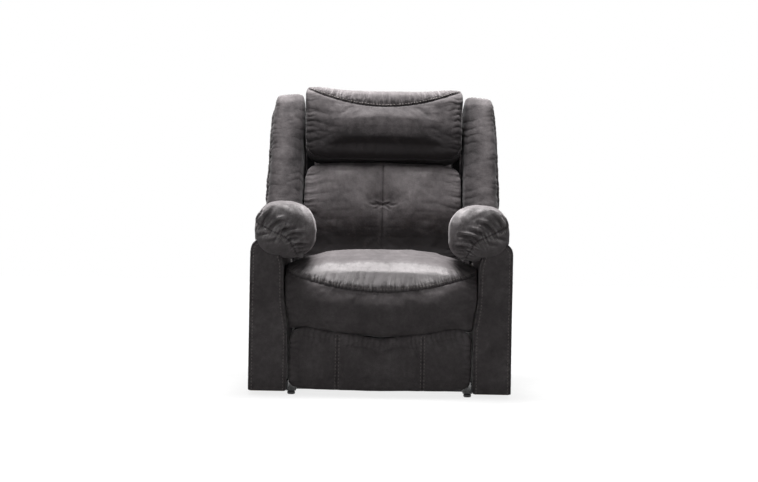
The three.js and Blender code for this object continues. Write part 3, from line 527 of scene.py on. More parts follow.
def random_cloud(points, size, seed):
    """Smooth random values through space, from 0 to 1, in cells of the given size."""
    table = np.random.RandomState(seed).rand(4099)
    scaled = points / size + 100
    cell = np.floor(scaled).astype(int)
    part = scaled - cell
    part = part * part * (3 - 2 * part)
    total = np.zeros(len(points))
    for corner in itertools.product((0, 1), repeat=3):
        key = (cell + corner) @ np.array((73, 1151, 2477))
        total += table[key % 4099] * np.where(corner, part, 1 - part).prod(axis=1)
    return total


# a stout cover that hardly stretches, with the air let out of its movement
CLOTH = {
    "quality": 5,
    "mass": 0.3,
    "tension_stiffness": 12,
    "compression_stiffness": 9,
    "shear_stiffness": 4,
    "bending_stiffness": 0.35,
    "air_damping": 2.0,
    "use_pressure": True,
    "vertex_group_mass": "held",
    "pin_stiffness": 1.0,
}


def plumped(piece, resting, sewn, ease):
    """Fills the piece: its net starts inside its finished size and is blown up, while the points that rest on
    something or are sewn down keep still."""
    padding = bpy.context.scene.recliner_padding
    start = places(piece)
    facing = outwards(piece)
    slack = np.full(len(start), padding.slack)
    slack[sewn] *= 0.5
    slack[resting] = 1.2 * MM
    slack = blurred(piece, slack, 3)
    start = start - facing * slack[:, None]
    held = np.flatnonzero(resting | sewn)
    set_places(piece, start)
    pins = piece.vertex_groups.new(name="held")
    pins.add([int(index) for index in held], 1.0, "REPLACE")
    filling = piece.modifiers.new("Filling", "CLOTH")
    cloth = filling.settings
    for name, value in CLOTH.items():
        setattr(cloth, name, value)
    # the cover is cut a little larger than its net, so that it wrinkles
    cloth.shrink_min = -ease
    cloth.uniform_pressure_force = padding.pressure
    cloth.effector_weights.gravity = 0
    filling.collision_settings.use_self_collision = False
    filling.point_cache.frame_start = 1
    filling.point_cache.frame_end = padding.steps
    scene = bpy.context.scene
    for step in range(1, padding.steps + 1):
        scene.frame_set(step)
    settled(piece)
    scene.frame_set(1)
    piece.vertex_groups.clear()
    return piece


def hill(away, width):
    """1 at the middle, falling smoothly to 0 over a few widths."""
    return np.exp(-((away / width) ** 2))


class Skin:
    """The outer skin of a padded piece, while seams, gathers and dimples are worked into it."""

    def __init__(self, piece):
        self.piece = piece
        self.points = places(piece)
        self.facing = outwards(piece)
        # shade and nap gather painted shade and painted highlight for the cover's colour
        self.push, self.shade, self.nap, self.run, self.pull = np.zeros((5, len(self.points)))
        self.tree = BVHTree.FromObject(piece, bpy.context.evaluated_depsgraph_get())

    def laid(self, line, towards):
        """The line dropped onto the skin along a direction; points that miss are left out."""
        ray = Vector(towards).normalized()
        hits = [self.tree.ray_cast(Vector(point) - ray * 0.6, ray)[0] for point in line]
        found = [hit for hit in hits if hit is not None]
        if len(found) < 2:
            raise RuntimeError(f"a line misses {self.piece.name}")
        return found

    def line(self, corners, towards, step=2 * MM):
        """A smooth line through the corners, dropped onto the skin along a direction."""
        return self.laid(fine_line(corners, step), towards)

    def seam(self, paths, width, depth, roll):
        """Presses a sewn seam along the paths, in millimetres: a narrow valley, the cover rolling down into it."""
        away = distances(self.points, paths, 0.04)[0] / MM
        self.push -= depth * MM * (hill(away, width) + 0.25 * hill(away, roll))
        # painted shade along the seam's valley, and a faint painted highlight on the cover rolling into it
        self.shade -= 0.24 * hill(away, width * 0.8)
        self.shade += 0.05 * hill(away - roll * 0.7, roll * 0.4)

    def gathers(self, paths, pitch, reach, height, seed, side=None, uneven=0.8, fine=False):
        """Puckers that run away from the paths, in millimetres: fine sharp valleys between round crests, uneven in
        length, on one side of the paths only where a side is given."""
        away, along, nearest = distances(self.points, paths, reach * MM * 1.6)
        ran, away = along / MM, away / MM
        fold = ran / pitch + uneven * random_line(ran / (2.1 * pitch), seed)
        fold += 0.35 * random_line(ran / (0.9 * pitch), seed + 1)
        # the folds wander a little as they leave the seam
        fold += 0.22 * np.sin(away / (reach * 0.3) + 6 * random_line(ran / (3 * pitch), seed + 2))
        size = 0.25 + 0.75 * random_line(ran / (1.7 * pitch), seed + 3)
        length = reach * (0.35 + 0.65 * random_line(ran / (1.4 * pitch), seed + 4))
        fade = np.exp(-((away / length) ** 1.6))
        if side is not None:
            offset = (self.points - nearest) @ np.array(side)
            fade *= np.clip(offset / (2 * MM) + 0.5, 0, 1)
        lift = size * (np.abs(np.sin(np.pi * fold)) ** 0.6 - 0.72) * fade
        self.push += height * MM * lift
        # painted highlight on the crests and painted shade in the valleys between them
        self.shade += 0.26 * lift
        if fine:  # the material adds its own finest folds, which follow the seam
            self.run = np.where(fade > self.pull, along, self.run)
            self.pull = np.maximum(self.pull, fade)

    def crease(self, path, width, depth):
        """A pleat or fold along the path, in millimetres, sunk most in its middle, with a raised lip on both sides;
        painted shade in its valley and painted highlight on its lips.
        """
        away, along, _ = distances(self.points, [path], width * MM * 5)
        away /= MM
        total = max(along.max(), 1e-6)
        taper = np.sin(np.pi * np.clip(along / total, 0.04, 0.96)) ** 0.7
        lip, valley = hill(away - 1.9 * width, width), hill(away, width)
        self.push += depth * MM * taper * (0.45 * lip - valley)
        self.shade += taper * (0.10 * lip - 0.20 * valley)

    def dimple(self, centre, width, depth):
        """A round pull-in, as at a tuft, in millimetres."""
        away = np.linalg.norm(self.points - np.array(centre), axis=1) / MM
        self.push -= depth * MM * np.exp(-((away / width) ** 1.5))

    def painted(self, amount):
        """Paints the cover paler (above 0) or darker (below 0): painted highlight and painted shade, kept with the nap.
        """
        self.nap += blurred(self.piece, amount, 10)

    def drape(self, size, height, seed):
        """Broad soft unevenness of the filling, in millimetres."""
        broad, close = (random_cloud(self.points, size * MM * share, seed + at) for share, at in ((1, 0), (0.45, 7)))
        cloud = 0.65 * broad + 0.35 * close - 0.5
        self.push += height * MM * cloud
        # painted highlight where the filling swells and painted shade where it dips
        self.shade += 0.10 * cloud

    def finish(self):
        """Moves the points and keeps the painted shade and painted highlight, from the folds and the nap, for the
        material.
        """
        set_places(self.piece, self.points + self.facing * self.push[:, None])
        kept = {"relief": np.clip(self.shade, -0.35, 0.35) + self.nap, "seam_run": self.run, "seam_pull": self.pull}
        for name, values in kept.items():
            self.piece.data.attributes.new(name, "FLOAT", "POINT").data.foreach_set("value", values)
        self.piece.data.shade_smooth()
        self.tree = BVHTree.FromObject(self.piece, bpy.context.evaluated_depsgraph_get())


BACK_REAR = np.array((0, math.cos(BACK_LEAN), -math.sin(BACK_LEAN)))
BACK_UP = np.array((0, math.sin(BACK_LEAN), math.cos(BACK_LEAN)))
AHEAD = (0, 1, 0)


def in_back(x, rear, up):
    """A place given in the back's own leaning directions, in metres from the hinge line."""
    return Vector(np.array(BACK_HINGE) + (x, 0, 0) + rear * BACK_REAR + up * BACK_UP)


def to_back(points):
    """Places turned into the back's own directions."""
    from_hinge = points - np.array(BACK_HINGE)
    return np.column_stack((points[:, 0], from_hinge @ BACK_REAR, from_hinge @ BACK_UP))


def to_front(facing):
    """How much each direction looks to the front of the leaning back, from -1 to 1."""
    return -facing @ BACK_REAR


def sloped(values, start, end):
    """0 up to start and 1 from end on, with a soft step between; start may be the larger."""
    share = np.clip((values - start) / (end - start), 0, 1)
    return share * share * (3 - 2 * share)


def padded_piece(node, held_where, room_where, step, ease=0.03):
    """A frame solid remade as a filled piece: even net, filling, its room kept, and a finer net. The room is how far
    each place may stand out; where it is below 0 the place stays inside. Room and step are in millimetres."""
    padding = bpy.context.scene.recliner_padding
    piece = copied(node, node + "_cover")
    evened(piece, step * MM)
    points, facing = places(piece), outwards(piece)
    resting, sewn = held_where(points, facing)
    room = room_where(points, facing) * MM
    plumped(piece, resting, sewn, ease)
    # sewn places may sink in, free ones a little, and those that rest on something hardly at all
    dent = np.where(resting | (room < 0), 0.6 * MM, 3 * MM)
    kept_near(piece, points, facing, room, np.where(sewn, padding.slack * 0.7, dent), padding.slide)
    halved(piece)
    return piece


def delivered(piece, body, node):
    """The finished cover piece with its material, its body and the frame solid it stands for."""
    dressed(piece, material_called("charcoal_microsuede", microsuede, bpy.context.scene.recliner_finishes))
    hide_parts(node)
    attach(piece, body)


def stitch(body, line):
    """Notes a row of topstitching for one body."""
    ROWS.setdefault(body, []).append([tuple(point) for point in line])


# ---------------------------------------------------------------- the pieces


class RECLINER_OT_seat_cushion(bpy.types.Operator):
    """The seat cushion: one crowned pad that rolls over the front, with a bowed seam and gathers above it"""

    bl_idname = "recliner.seat_cushion"
    bl_label = "Seat Cushion"

    def execute(self, context):
        def bow(x):
            return 0.343 + 0.060 * (x / 0.311) ** 2

        def held(points, facing):
            sewn = (np.abs(points[:, 2] - bow(points[:, 0])) < 5 * MM) & (facing[:, 1] < -0.3)
            under = (facing[:, 2] < -0.7) & (points[:, 2] > 0.3)
            return under | (points[:, 1] > 0.083), sewn

        def room(points, facing):
            x, y, z = points.T
            outward, rearward, upward = facing.T
            free = np.where((rearward < -0.4) & (y < -0.40), 7, 3)
            free = np.where((np.abs(x) < 0.2) & (upward > 0.5) & (y < 0.02), 8, free)
            beside = (np.abs(outward) > 0.35) | (np.abs(x) > 0.285)
            free = np.where(beside & (z > 0.25), -0.8, free)
            free = np.where(upward < -0.3, -0.6, free)
            # the underside of the front roll
            free = np.where((upward < -0.25) & (z < 0.27) & (y < -0.40), 3.5, free)
            return np.where(y > 0.06, -0.8, free)

        piece = padded_piece("seat_cushion", held, room, 6.6, ease=0.015)
        # the front roll hangs down to just above the footrest, most of all at its corners
        points, facing = places(piece), outwards(piece)
        hang = np.interp(np.abs(points[:, 0]), [0.05, 0.19, 0.25], [2.5 * MM, 10 * MM, 14 * MM])
        hang *= np.clip(-1.4 * facing[:, 2], 0, 1) * (points[:, 1] < -0.40) * (points[:, 2] < 0.27)
        points[:, 2] -= blurred(piece, hang, 3)
        set_places(piece, points)
        skin = Skin(piece)
        seam = skin.line([(x, -0.6, bow(x)) for x in np.linspace(-0.309, 0.309, 15)], AHEAD)
        skin.seam([seam], 2.3, 3.4, 10)
        skin.gathers([seam], 13, 50, 4.6, 11, side=(0, 0.5, 1), uneven=1.1, fine=True)
        skin.gathers([seam], 31, 100, 3.4, 17, side=(0, 0.5, 1))
        skin.gathers([seam], 16, 14, 1.2, 15, side=(0, 0, -1))
        down = (0, 0, -1)
        for side in (-1, 1):
            end = skin.line([(side * 0.302, -0.6, 0.235), (side * 0.304, -0.6, 0.39)], AHEAD)
            skin.gathers([end], 27, 46, 2.6, 31 + side)
            pull = [(side * x, y, 0.8) for x, y in ((0.162, 0.055), (0.157, 0.01), (0.148, -0.05))]
            skin.crease(skin.line(pull, down), 5, 4.5)
            branch = [(side * x, y, 0.8) for x, y in ((0.175, 0.055), (0.185, -0.015))]
            skin.crease(skin.line(branch, down), 5, 2.8)
        skin.drape(100, 8, 5)
        # painted highlight on the front crest above the seam; painted shade on the top behind it and on the front below
        # the seam
        across, depth, height = skin.points.T
        above_seam = height - np.interp(across, [p.x for p in seam], [p.z for p in seam])
        crest = sloped(depth, -0.30, -0.40) * sloped(above_seam, -0.004, 0.03)
        crest *= 0.55 - 0.60 * sloped(skin.facing[:, 2], 0.55, 0.92)
        skin.painted(crest - 0.10 * sloped(depth, -0.40, -0.30) - 0.05 * sloped(above_seam, -0.02, -0.05))
        skin.finish()
        row = context.scene.recliner_stitching.setback + 2 * MM
        stitch("seat", skin.laid([(p.x, -0.6, p.z + row) for p in seam], AHEAD))
        delivered(piece, "seat", "seat_cushion")
        return {"FINISHED"}


class RECLINER_OT_lumbar_cushion(bpy.types.Operator):
    """The lumbar cushion: a full pad parted by an upright seam and pulled in at one tuft"""

    bl_idname = "recliner.lumbar_cushion"
    bl_label = "Lumbar Cushion"

    def execute(self, context):
        tuft = 0.288

        def held(points, facing):
            x, _, up = to_back(points).T
            sewn = (np.abs(x) < 4 * MM) | (np.hypot(x, up - tuft) < 13 * MM)
            return (to_front(facing) < -0.5) | (np.abs(facing[:, 0]) > 0.85), sewn & (to_front(facing) > 0.4)

        def room(points, facing):
            free = np.where((to_front(facing) > 0.5) & (np.abs(facing[:, 0]) <= 0.35), 9, -0.8)
            # the wider foot below the wings fills the space between the arms
            return np.where(np.abs(points[:, 0]) > 0.30, 1.2, free)

        piece = padded_piece("lumbar_cushion", held, room, 6.2, ease=0.006)
        # the wider foot below the wings closes on the arms
        points, facing = places(piece), outwards(piece)
        x, width = points[:, 0].copy(), np.abs(points[:, 0])
        beside = (width > 0.295) & (np.abs(facing[:, 0]) > 0.3)
        points[:, 0] = np.where(beside, np.sign(x) * np.maximum(width, 0.3160), x)
        # and the face curves back under itself towards the seat
        tuck = sloped(to_back(points)[:, 2], 0.30, 0.12) * sloped(to_front(facing), 0.1, 0.5)
        tuck *= 36 * MM * (np.abs(points[:, 0]) < 0.286)
        set_places(piece, points + blurred(piece, tuck, 4)[:, None] * BACK_REAR)
        skin = Skin(piece)
        upright = skin.line([in_back(0, -0.3, up) for up in np.linspace(0.045, 0.432, 12)], BACK_REAR)
        skin.seam([upright], 2.6, 3.6, 15)
        middle = skin.laid([in_back(0, -0.3, tuft), in_back(0.001, -0.3, tuft)], BACK_REAR)[0]
        skin.dimple(middle, 46, 12)
        # short folds run out from the tuft: each has a direction in degrees and a reach in millimetres
        spokes = [(-176, 46), (-154, 26), (-26, 30), (-5, 52), (17, 30), (161, 34)]
        for number, (turn, reach) in enumerate(spokes):
            corners = []
            for share in (0.08, 0.4, 0.7, 1.0):
                angle = math.radians(turn) + 0.10 * share * share * (1 if number % 2 else -1)
                out = reach * MM * share
                corners.append(in_back(out * math.cos(angle), -0.3, tuft + out * math.sin(angle)))
            skin.crease(skin.line(corners, BACK_REAR), 4.0, 1.8 if number % 2 else 2.6)
        for side in (-1, 1):
            edge = skin.line([in_back(side * 0.268, -0.3, up) for up in (0.10, 0.2, 0.3, 0.42)], BACK_REAR)
            skin.gathers([edge], 19, 40, 3.0, 41 + side, uneven=1.6)
            skin.gathers([edge], 42, 95, 2.6, 47 + side)
        foot = skin.line([in_back(x, -0.3, 0.052) for x in (-0.24, 0, 0.24)], BACK_REAR)
        skin.gathers([foot], 26, 44, 2.6, 53)
        skin.drape(110, 8, 6)
        height = to_back(skin.points)[:, 2]
        # painted shade over the whole face, more lower down and most at the foot above the seat
        skin.painted(-0.07 - 0.10 * sloped(height, 0.38, 0.28) - 0.42 * sloped(height, 0.25, 0.15))
        skin.finish()
        delivered(piece, "back", "lumbar_cushion")
        return {"FINISHED"}


class RECLINER_OT_headrest_pillow(bpy.types.Operator):
    """The headrest pillow: a full pillow whose face is sewn on below the top in a bowed, gathered seam"""

    bl_idname = "recliner.headrest_pillow"
    bl_label = "Headrest Pillow"

    def execute(self, context):
        def bow(x):
            return 0.652 + 0.052 * (x / 0.277) ** 2

        def held(points, facing):
            x, rear, up = to_back(points).T
            sewn = (np.abs(up - bow(x)) < 5 * MM) & (rear < -0.06)
            return (to_front(facing) < -0.6) | (np.abs(facing[:, 0]) > 0.85), sewn

        def room(points, facing):
            up = to_back(points)[:, 2]
            free = np.where((to_front(facing) > 0.3) | (up > 0.66), 8, -0.8)
            free = np.where((np.abs(facing[:, 0]) > 0.35) & (up < 0.70), -0.8, free)
            return free * np.interp(up, [0.452, 0.475], [0.0, 1.0])

        piece = padded_piece("headrest_pillow", held, room, 5.8, ease=0.008)
        # the top sags between the two corners
        points = places(piece)
        x, _, up = to_back(points).T
        across = np.abs(x)
        sag = 20 * MM * np.clip((up - 0.56) / 0.15, 0, 1) ** 2 * (1 - np.clip(across / 0.262, 0, 1) ** 2.2)
        # and the corners stand out as ears that close on the wings
        ear = np.interp(across, [0.19, 0.255], [0, 1]) * np.interp(up, [0.58, 0.66], [0, 1])
        reach = np.interp(up, [0.66, 0.69, 0.71, 0.73], [0.287, 0.286, 0.279, 0.266])
        points[:, 0] += blurred(piece, np.sign(x) * 0.8 * ear**2 * np.maximum(reach - across, 0), 6)
        points += (5 * MM * ear - sag)[:, None] * BACK_UP
        # the lower face tucks in above the lumbar cushion
        tuck = 18 * MM * sloped(up, 0.61, 0.455) * sloped(to_front(outwards(piece)), 0.0, 0.5)
        set_places(piece, points + blurred(piece, tuck, 10)[:, None] * BACK_REAR)
        skin = Skin(piece)
        # the sag has taken the middle of the seam down with it
        sagged = [(x, bow(x) - 12 * MM * (1 - (x / 0.277) ** 2)) for x in np.linspace(-0.272, 0.272, 15)]
        seam = skin.line([in_back(x, -0.4, up) for x, up in sagged], BACK_REAR)
        skin.seam([seam], 2.3, 3.2, 9)
        skin.gathers([seam], 10, 60, 4.2, 61, side=BACK_UP, uneven=1.1, fine=True)
        skin.gathers([seam], 27, 90, 3.6, 66, side=BACK_UP)
        skin.gathers([seam], 13, 12, 1.0, 69, side=-BACK_UP)
        for side in (-1, 1):
            edge = skin.line([in_back(side * 0.268, -0.4, up) for up in (0.485, 0.55, 0.63, 0.69)], BACK_REAR)
            skin.gathers([edge], 21, 38, 3.4, 71 + side, uneven=1.6)
            skin.gathers([edge], 44, 90, 2.6, 75 + side)
        foot = skin.line([in_back(x, -0.4, 0.486) for x in (-0.25, 0, 0.25)], BACK_REAR)
        skin.gathers([foot], 30, 40, 2.6, 81)
        skin.drape(120, 8, 8)
        height = to_back(skin.points)[:, 2]
        # painted shade over the whole face, more below the top band and most on the lower face
        skin.painted(-0.06 - 0.20 * sloped(height, 0.69, 0.655) - 0.40 * sloped(height, 0.61, 0.47))
        skin.finish()
        above = Vector(BACK_UP) * context.scene.recliner_stitching.setback - Vector(BACK_REAR) * 0.2
        stitch("back", skin.laid([point + above for point in seam], BACK_REAR))
        delivered(piece, "back", "headrest_pillow")
        return {"FINISHED"}


class RECLINER_OT_wings(bpy.types.Operator):
    """The two wings beside the back: tall side bolsters, puckered along their outer seam and top"""

    bl_idname = "recliner.wings"
    bl_label = "Wings"

    def execute(self, context):
        for name, side in SIDES.items():

            def held(points, facing):
                return (to_front(facing) < -0.5) | (facing[:, 0] * side < -0.6), np.zeros(len(points), bool)

            def room(points, facing):
                up = to_back(points)[:, 2]
                free = np.where((to_front(facing) > 0.2) | (facing[:, 0] * side > 0.3), 5, -0.6)
                free = np.where(up > 0.66, 4, np.where(up < 0.30, -0.8, free))
                return np.where(np.abs(points[:, 0]) < 0.294, -1.0, free)

            piece = padded_piece("wing_" + name, held, room, 5.4, ease=0.02)
            # the top stays full beside the headrest
            points = places(piece)
            full = np.interp(np.abs(points[:, 0]), [0.286, 0.30, 0.36], [1, 0.8, 0])
            full *= np.interp(to_back(points)[:, 2], [0.64, 0.70], [0, 1])
            set_places(piece, points + (9 * MM * full)[:, None] * BACK_UP)
            skin = Skin(piece)
            leaning = [in_back(side * 0.6, -0.088 + 0.020 * (up - 0.3), up) for up in np.linspace(0.262, 0.680, 9)]
            outer = skin.line(leaning, (-side, 0, 0))
            skin.seam([outer], 2.8, 3.0, 9)
            skin.gathers([outer], 21, 40, 4.4, 91 + side)
            skin.gathers([outer], 60, 90, 2.8, 95 + side)
            top = skin.line([in_back(side * x, -0.075, 1.0) for x in (0.300, 0.34, 0.39)], -BACK_UP)
            skin.seam([top], 2.8, 2.4, 8)
            skin.gathers([top], 13, 44, 4.2, 101 + side)
            inner = skin.line([in_back(side * 0.303, -0.4, up) for up in (0.27, 0.45, 0.68)], BACK_REAR)
            skin.gathers([inner], 38, 50, 2.6, 105 + side)
            skin.drape(85, 8, 20 + side)
            # painted shade towards the inner edge and below the top
            shaded = sloped(np.abs(skin.points[:, 0]), 0.37, 0.31)
            skin.painted(-0.20 * sloped(to_back(skin.points)[:, 2], 0.70, 0.62) - 0.22 * shaded)
            skin.finish()
            delivered(piece, "back", "wing_" + name)
        return {"FINISHED"}


class RECLINER_OT_arm_pads(bpy.types.Operator):
    """The armrest pads: long pillows whose front end swells over the arm and is drawn into a pleated seam"""

    bl_idname = "recliner.arm_pads"
    bl_label = "Armrest Pads"

    def execute(self, context):
        # pleats fan out from the seam: each has three places, in millimetres in from the pad's outer edge and up
        # from the floor, and a depth
        pleats = [
            ((50, 540), (80, 566), (110, 574), 6.0),
            ((77, 527), (102, 541), (136, 549), 6.5),
            ((102, 516), (132, 527), (170, 531), 7.0),
            ((114, 506), (132, 514), (156, 520), 5.0),
            ((126, 489), (152, 494), (186, 493), 6.5),
            ((134, 478), (156, 482), (182, 484), 4.5),
            ((30, 548), (36, 575), (60, 600), 3.5),
            ((16, 556), (14, 574), (28, 596), 3.5),
            ((56, 533), (38, 527), (14, 522), 4.5),
            ((87, 518), (66, 508), (40, 503), 3.2),
            ((142, 468), (160, 470), (180, 472), 3.5),
        ]
        knots = [(4, 566), (72, 531), (113, 511), (130, 487), (146, 457)]
        outer_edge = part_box("arm_pad_right")[1].x
        seam_inward, seam_height = np.array(knots + [(157, 440)]).T
        setback = context.scene.recliner_stitching.setback

        def held(points, facing):
            x, y, z = points.T
            line = np.interp(-np.abs(x), seam_inward * MM - outer_edge, seam_height * MM)
            lying = (facing[:, 2] < -0.5) & (np.abs(x) > 0.33) & (z < 0.53)
            return lying | (y > 0.112), (np.abs(z - line) < 5 * MM) & (facing[:, 1] < -0.3)

        def room(points, facing):
            x, y, z = points.T
            free = np.where(facing[:, 2] > -0.2, 4, -0.8)
            free = np.where((facing[:, 1] < -0.2) & (y < -0.42), 6, free)
            low = (z < 0.515) & (np.abs(x) > 0.296)
            free = np.where(low | (z < 0.478), -1.0, free)
            return np.where(y > 0.05, -0.5, free)

        for name, side in SIDES.items():

            def on_front(corners):
                return [(side * (outer_edge - inward * MM), -0.7, z * MM) for inward, z in corners]

            piece = padded_piece("arm_pad_" + name, held, room, 5.6)
            skin = Skin(piece)
            seam = skin.line(on_front(knots), AHEAD)
            skin.seam([seam], 2.6, 4.2, 10)
            skin.gathers([seam], 13, 42, 4.2, 111 + side, fine=True)
            skin.gathers([seam], 30, 80, 5.0, 115 + side, side=(-side * 0.4, 0, 1))
            for *corners, depth in pleats:
                skin.crease(skin.line(on_front(corners), AHEAD), 5.0, 1.7 * depth)
            # the long welt along the outer side, and the folds over the top behind the bulb
            outer = skin.line([(side * 0.7, y, 0.552 + 0.012 * y) for y in (-0.42, -0.2, 0.05)], (-side, 0, 0))
            skin.seam([outer], 2.8, 3.2, 9)
            skin.gathers([outer], 34, 60, 3.8, 121 + side)
            inner = skin.line([(side * 0.05, y, 0.548 + 0.012 * y) for y in (-0.40, -0.2, 0.05)], (side, 0, 0))
            skin.gathers([inner], 38, 70, 3.6, 125 + side)
            skin.drape(75, 9, 30 + side)
            # painted highlight on the front bulb, palest where its face rounds over towards the top
            upward = skin.facing[:, 2]
            bulb = sloped(skin.points[:, 1], -0.22, -0.38)
            skin.painted(bulb * (0.12 + 0.30 * sloped(upward, -0.5, 0.5) - 0.34 * sloped(upward, 0.55, 0.95)))
            skin.finish()
            lower = [(p.x + side * 2 * MM, -0.7, p.z - setback) for p in seam if abs(p.x) > 0.30]
            stitch("base", skin.laid(lower, AHEAD))
            delivered(piece, "base", "arm_pad_" + name)
        return {"FINISHED"}


def arm_edge(inset, low, high):
    """The right arm's front outline in x and z, drawn in by inset: up the inner edge, over, and down the outer one."""
    inner, outer, top = 0.305 + inset, 0.430 - inset, 0.510 - inset
    corner = 0.038 - inset * 0.4
    rise = [(0, low), (0, 0.200), (0.005, 0.245), (0.0125, 0.30), (0.015, 0.36), (0.016, 0.415), (0.026, 0.46)]
    curve = [(inner + x, z) for x, z in rise + [(0.040, top)]]
    for turn in (90, 60, 30, 0):
        angle = math.radians(turn)
        curve.append((outer - corner * (1 - math.cos(angle)), top - corner * (1 - math.sin(angle))))
    return curve + [(outer, high), (outer, low)]


def inside_shell(skin):
    """Which points lie on the inner face of an arm cover, against the timber."""
    x, y, z = np.abs(skin.points[:, 0]), skin.points[:, 1], skin.points[:, 2]
    behind = (y > -0.441) & (y < 0.258)
    inner_wall = np.interp(z, [0.2, 0.30, 0.46, 0.51], [0.310, 0.322, 0.330, 0.350])
    return behind & (x > inner_wall) & (x < 0.4255) & (z < 0.5055)


def finer_near(piece, chosen):
    """Parts each face of the chosen region in four."""
    work = bmesh.new()
    work.from_mesh(piece.data)
    edges = [edge for edge in work.edges if chosen(edge.verts[0].co) and chosen(edge.verts[1].co)]
    bmesh.ops.subdivide_edges(work, edges=edges, cuts=1, use_grid_fill=True)
    bmesh.ops.triangulate(work, faces=[face for face in work.faces if len(face.verts) > 4])
    work.to_mesh(piece.data)
    work.free()


class RECLINER_OT_arm_covers(bpy.types.Operator):
    """The arm covers: thin foam and microsuede stretched over the arm boxes, sewn round the front panel"""

    bl_idname = "recliner.arm_covers"
    bl_label = "Arm Covers"

    def execute(self, context):
        edge_seam = 4.5 * MM
        row_inset = edge_seam + context.scene.recliner_stitching.setback
        for name, side in SIDES.items():
            node = "arm_cover_" + name
            piece = evened(copied(node, node + "_cover"), 5.0 * MM)
            finer_near(piece, lambda point: point.y < -0.425)
            skin = Skin(piece)
            seam = skin.line([(side * x, -0.7, z) for x, z in arm_edge(edge_seam, 0.016, 0.40)], AHEAD, 3 * MM)
            skin.seam([seam], 2.4, 2.2, 6)
            skin.gathers([seam], 24, 22, 0.9, 131 + side)
            # the front panel is lightly filled
            panel = (skin.facing[:, 1] < -0.7) & (skin.points[:, 1] < -0.44)
            away, _, _ = distances(skin.points, [seam], 0.08)
            skin.push += 2.6 * MM * panel * (1 - hill(away, 22 * MM))
            rear = skin.line([(side * 0.7, 0.250, z) for z in (0.03, 0.2, 0.47)], (-side, 0, 0))
            skin.seam([rear], 3.4, 1.6, 8)
            skin.drape(130, 3.2, 40 + side)
            skin.push[inside_shell(skin)] = 0
            # a welt down the rear of the inner wall closes the gap beside the lumbar cushion
            x, y, z = skin.points.T
            welt = hill(y - 0.238, 17 * MM) * (np.abs(x) < 0.3495) * (skin.facing[:, 0] * side < -0.5)
            skin.push += welt * np.interp(z, [0.34, 0.40, 0.47, 0.505], [0, 6 * MM, 7 * MM, 0])
            skin.finish()
            row = [(side * x, -0.7, z) for x, z in arm_edge(row_inset, 0.020, 0.40)]
            stitch("base", skin.line(row, AHEAD, 3 * MM))
            delivered(piece, "base", node)
        return {"FINISHED"}


class RECLINER_OT_back_cover(bpy.types.Operator):
    """The outside back: one taut panel, sewn round its edge"""

    bl_idname = "recliner.back_cover"
    bl_label = "Back Cover"

    def execute(self, context):
        piece = evened(copied("back_cover", "back_cover_cover"), 5.6 * MM)
        skin = Skin(piece)
        outside = (to_front(skin.facing) < -0.6) & (to_back(skin.points)[:, 1] > 0.095)
        half = [(0.388, 0.24), (0.384, 0.45), (0.380, 0.695)]
        edge = [(-x, up) for x, up in half] + [(0, 0.695)] + half[::-1]
        corners = [in_back(x, 0.5, up) for x, up in edge]
        lines = [skin.line(ends, -BACK_REAR, 3 * MM) for ends in zip(corners, corners[1:])]
        skin.seam(lines, 4.2, 1.8, 9)
        skin.gathers(lines, 40, 26, 1.2, 141)
        away, _, _ = distances(skin.points, lines, 0.15)
        cloud = random_cloud(skin.points, 0.16, 50)
        skin.push = np.where(outside, skin.push + 3.0 * MM * (1 - hill(away, 60 * MM) + cloud - 0.5), 0)
        skin.finish()
        setback = context.scene.recliner_stitching.setback * 1.2
        for line in lines:
            level = abs(line[0].x - line[-1].x) > 0.1
            inward = Vector(BACK_UP) * -setback if level else Vector((-math.copysign(setback, line[0].x), 0, 0))
            stitch("back", skin.laid([point + inward for point in line], -BACK_REAR))
        delivered(piece, "back", "back_cover")
        return {"FINISHED"}


class RECLINER_OT_foot_pad(bpy.types.Operator):
    """The footrest pad: a flat pad with two upright double-sewn seams"""

    bl_idname = "recliner.foot_pad"
    bl_label = "Footrest Pad"

    def execute(self, context):
        seam_out = 0.140

        def held(points, facing):
            return facing[:, 1] > 0.3, (np.abs(np.abs(points[:, 0]) - seam_out) < 4 * MM) & (facing[:, 1] < -0.4)

        def room(points, facing):
            edge = (np.abs(facing[:, 0]) > 0.4) | (np.abs(facing[:, 2]) > 0.4)
            return np.where(edge, -0.3, np.where(facing[:, 1] < -0.4, 6, -0.4))

        piece = padded_piece("foot_pad", held, room, 5.2)
        points, facing = places(piece), outwards(piece)
        rise = np.interp(np.abs(points[:, 0]), [0.15, 0.23], [3 * MM, 7 * MM])
        points[:, 2] += blurred(piece, rise * np.clip(1.4 * facing[:, 2], 0, 1), 2)
        set_places(piece, points)
        skin = Skin(piece)
        setback = context.scene.recliner_stitching.setback * 0.8
        rows = []
        for number, x in enumerate((-seam_out, seam_out)):
            seam = skin.line([(x, -0.7, z) for z in (0.022, 0.10, 0.196)], AHEAD)
            skin.seam([seam], 2.6, 2.6, 9)
            skin.gathers([seam], 19, 18, 1.2, 151 + number)
            rows += [[(x + shift, -0.7, z) for z in np.linspace(0.022, 0.196, 60)] for shift in (-setback, setback)]
        half = [(0.288, 0.208), (0.21, 0.203), (0.12, 0.183)]
        bow = [(-x, z) for x, z in half] + [(0, 0.174)] + half[::-1]
        top = skin.line([(x, -0.7, z) for x, z in bow], AHEAD)
        skin.gathers([top], 17, 32, 1.8, 161)
        for side in (-1, 1):
            end = skin.line([(side * 0.291, -0.7, z) for z in (0.03, 0.10, 0.18)], AHEAD)
            skin.gathers([end], 19, 34, 2.0, 165 + side)
        skin.drape(100, 4, 60)
        skin.finish()
        for row in rows:
            stitch("footrest", skin.laid(row, AHEAD))
        delivered(piece, "footrest", "foot_pad")
        return {"FINISHED"}


# ---------------------------------------------------------------- stitches


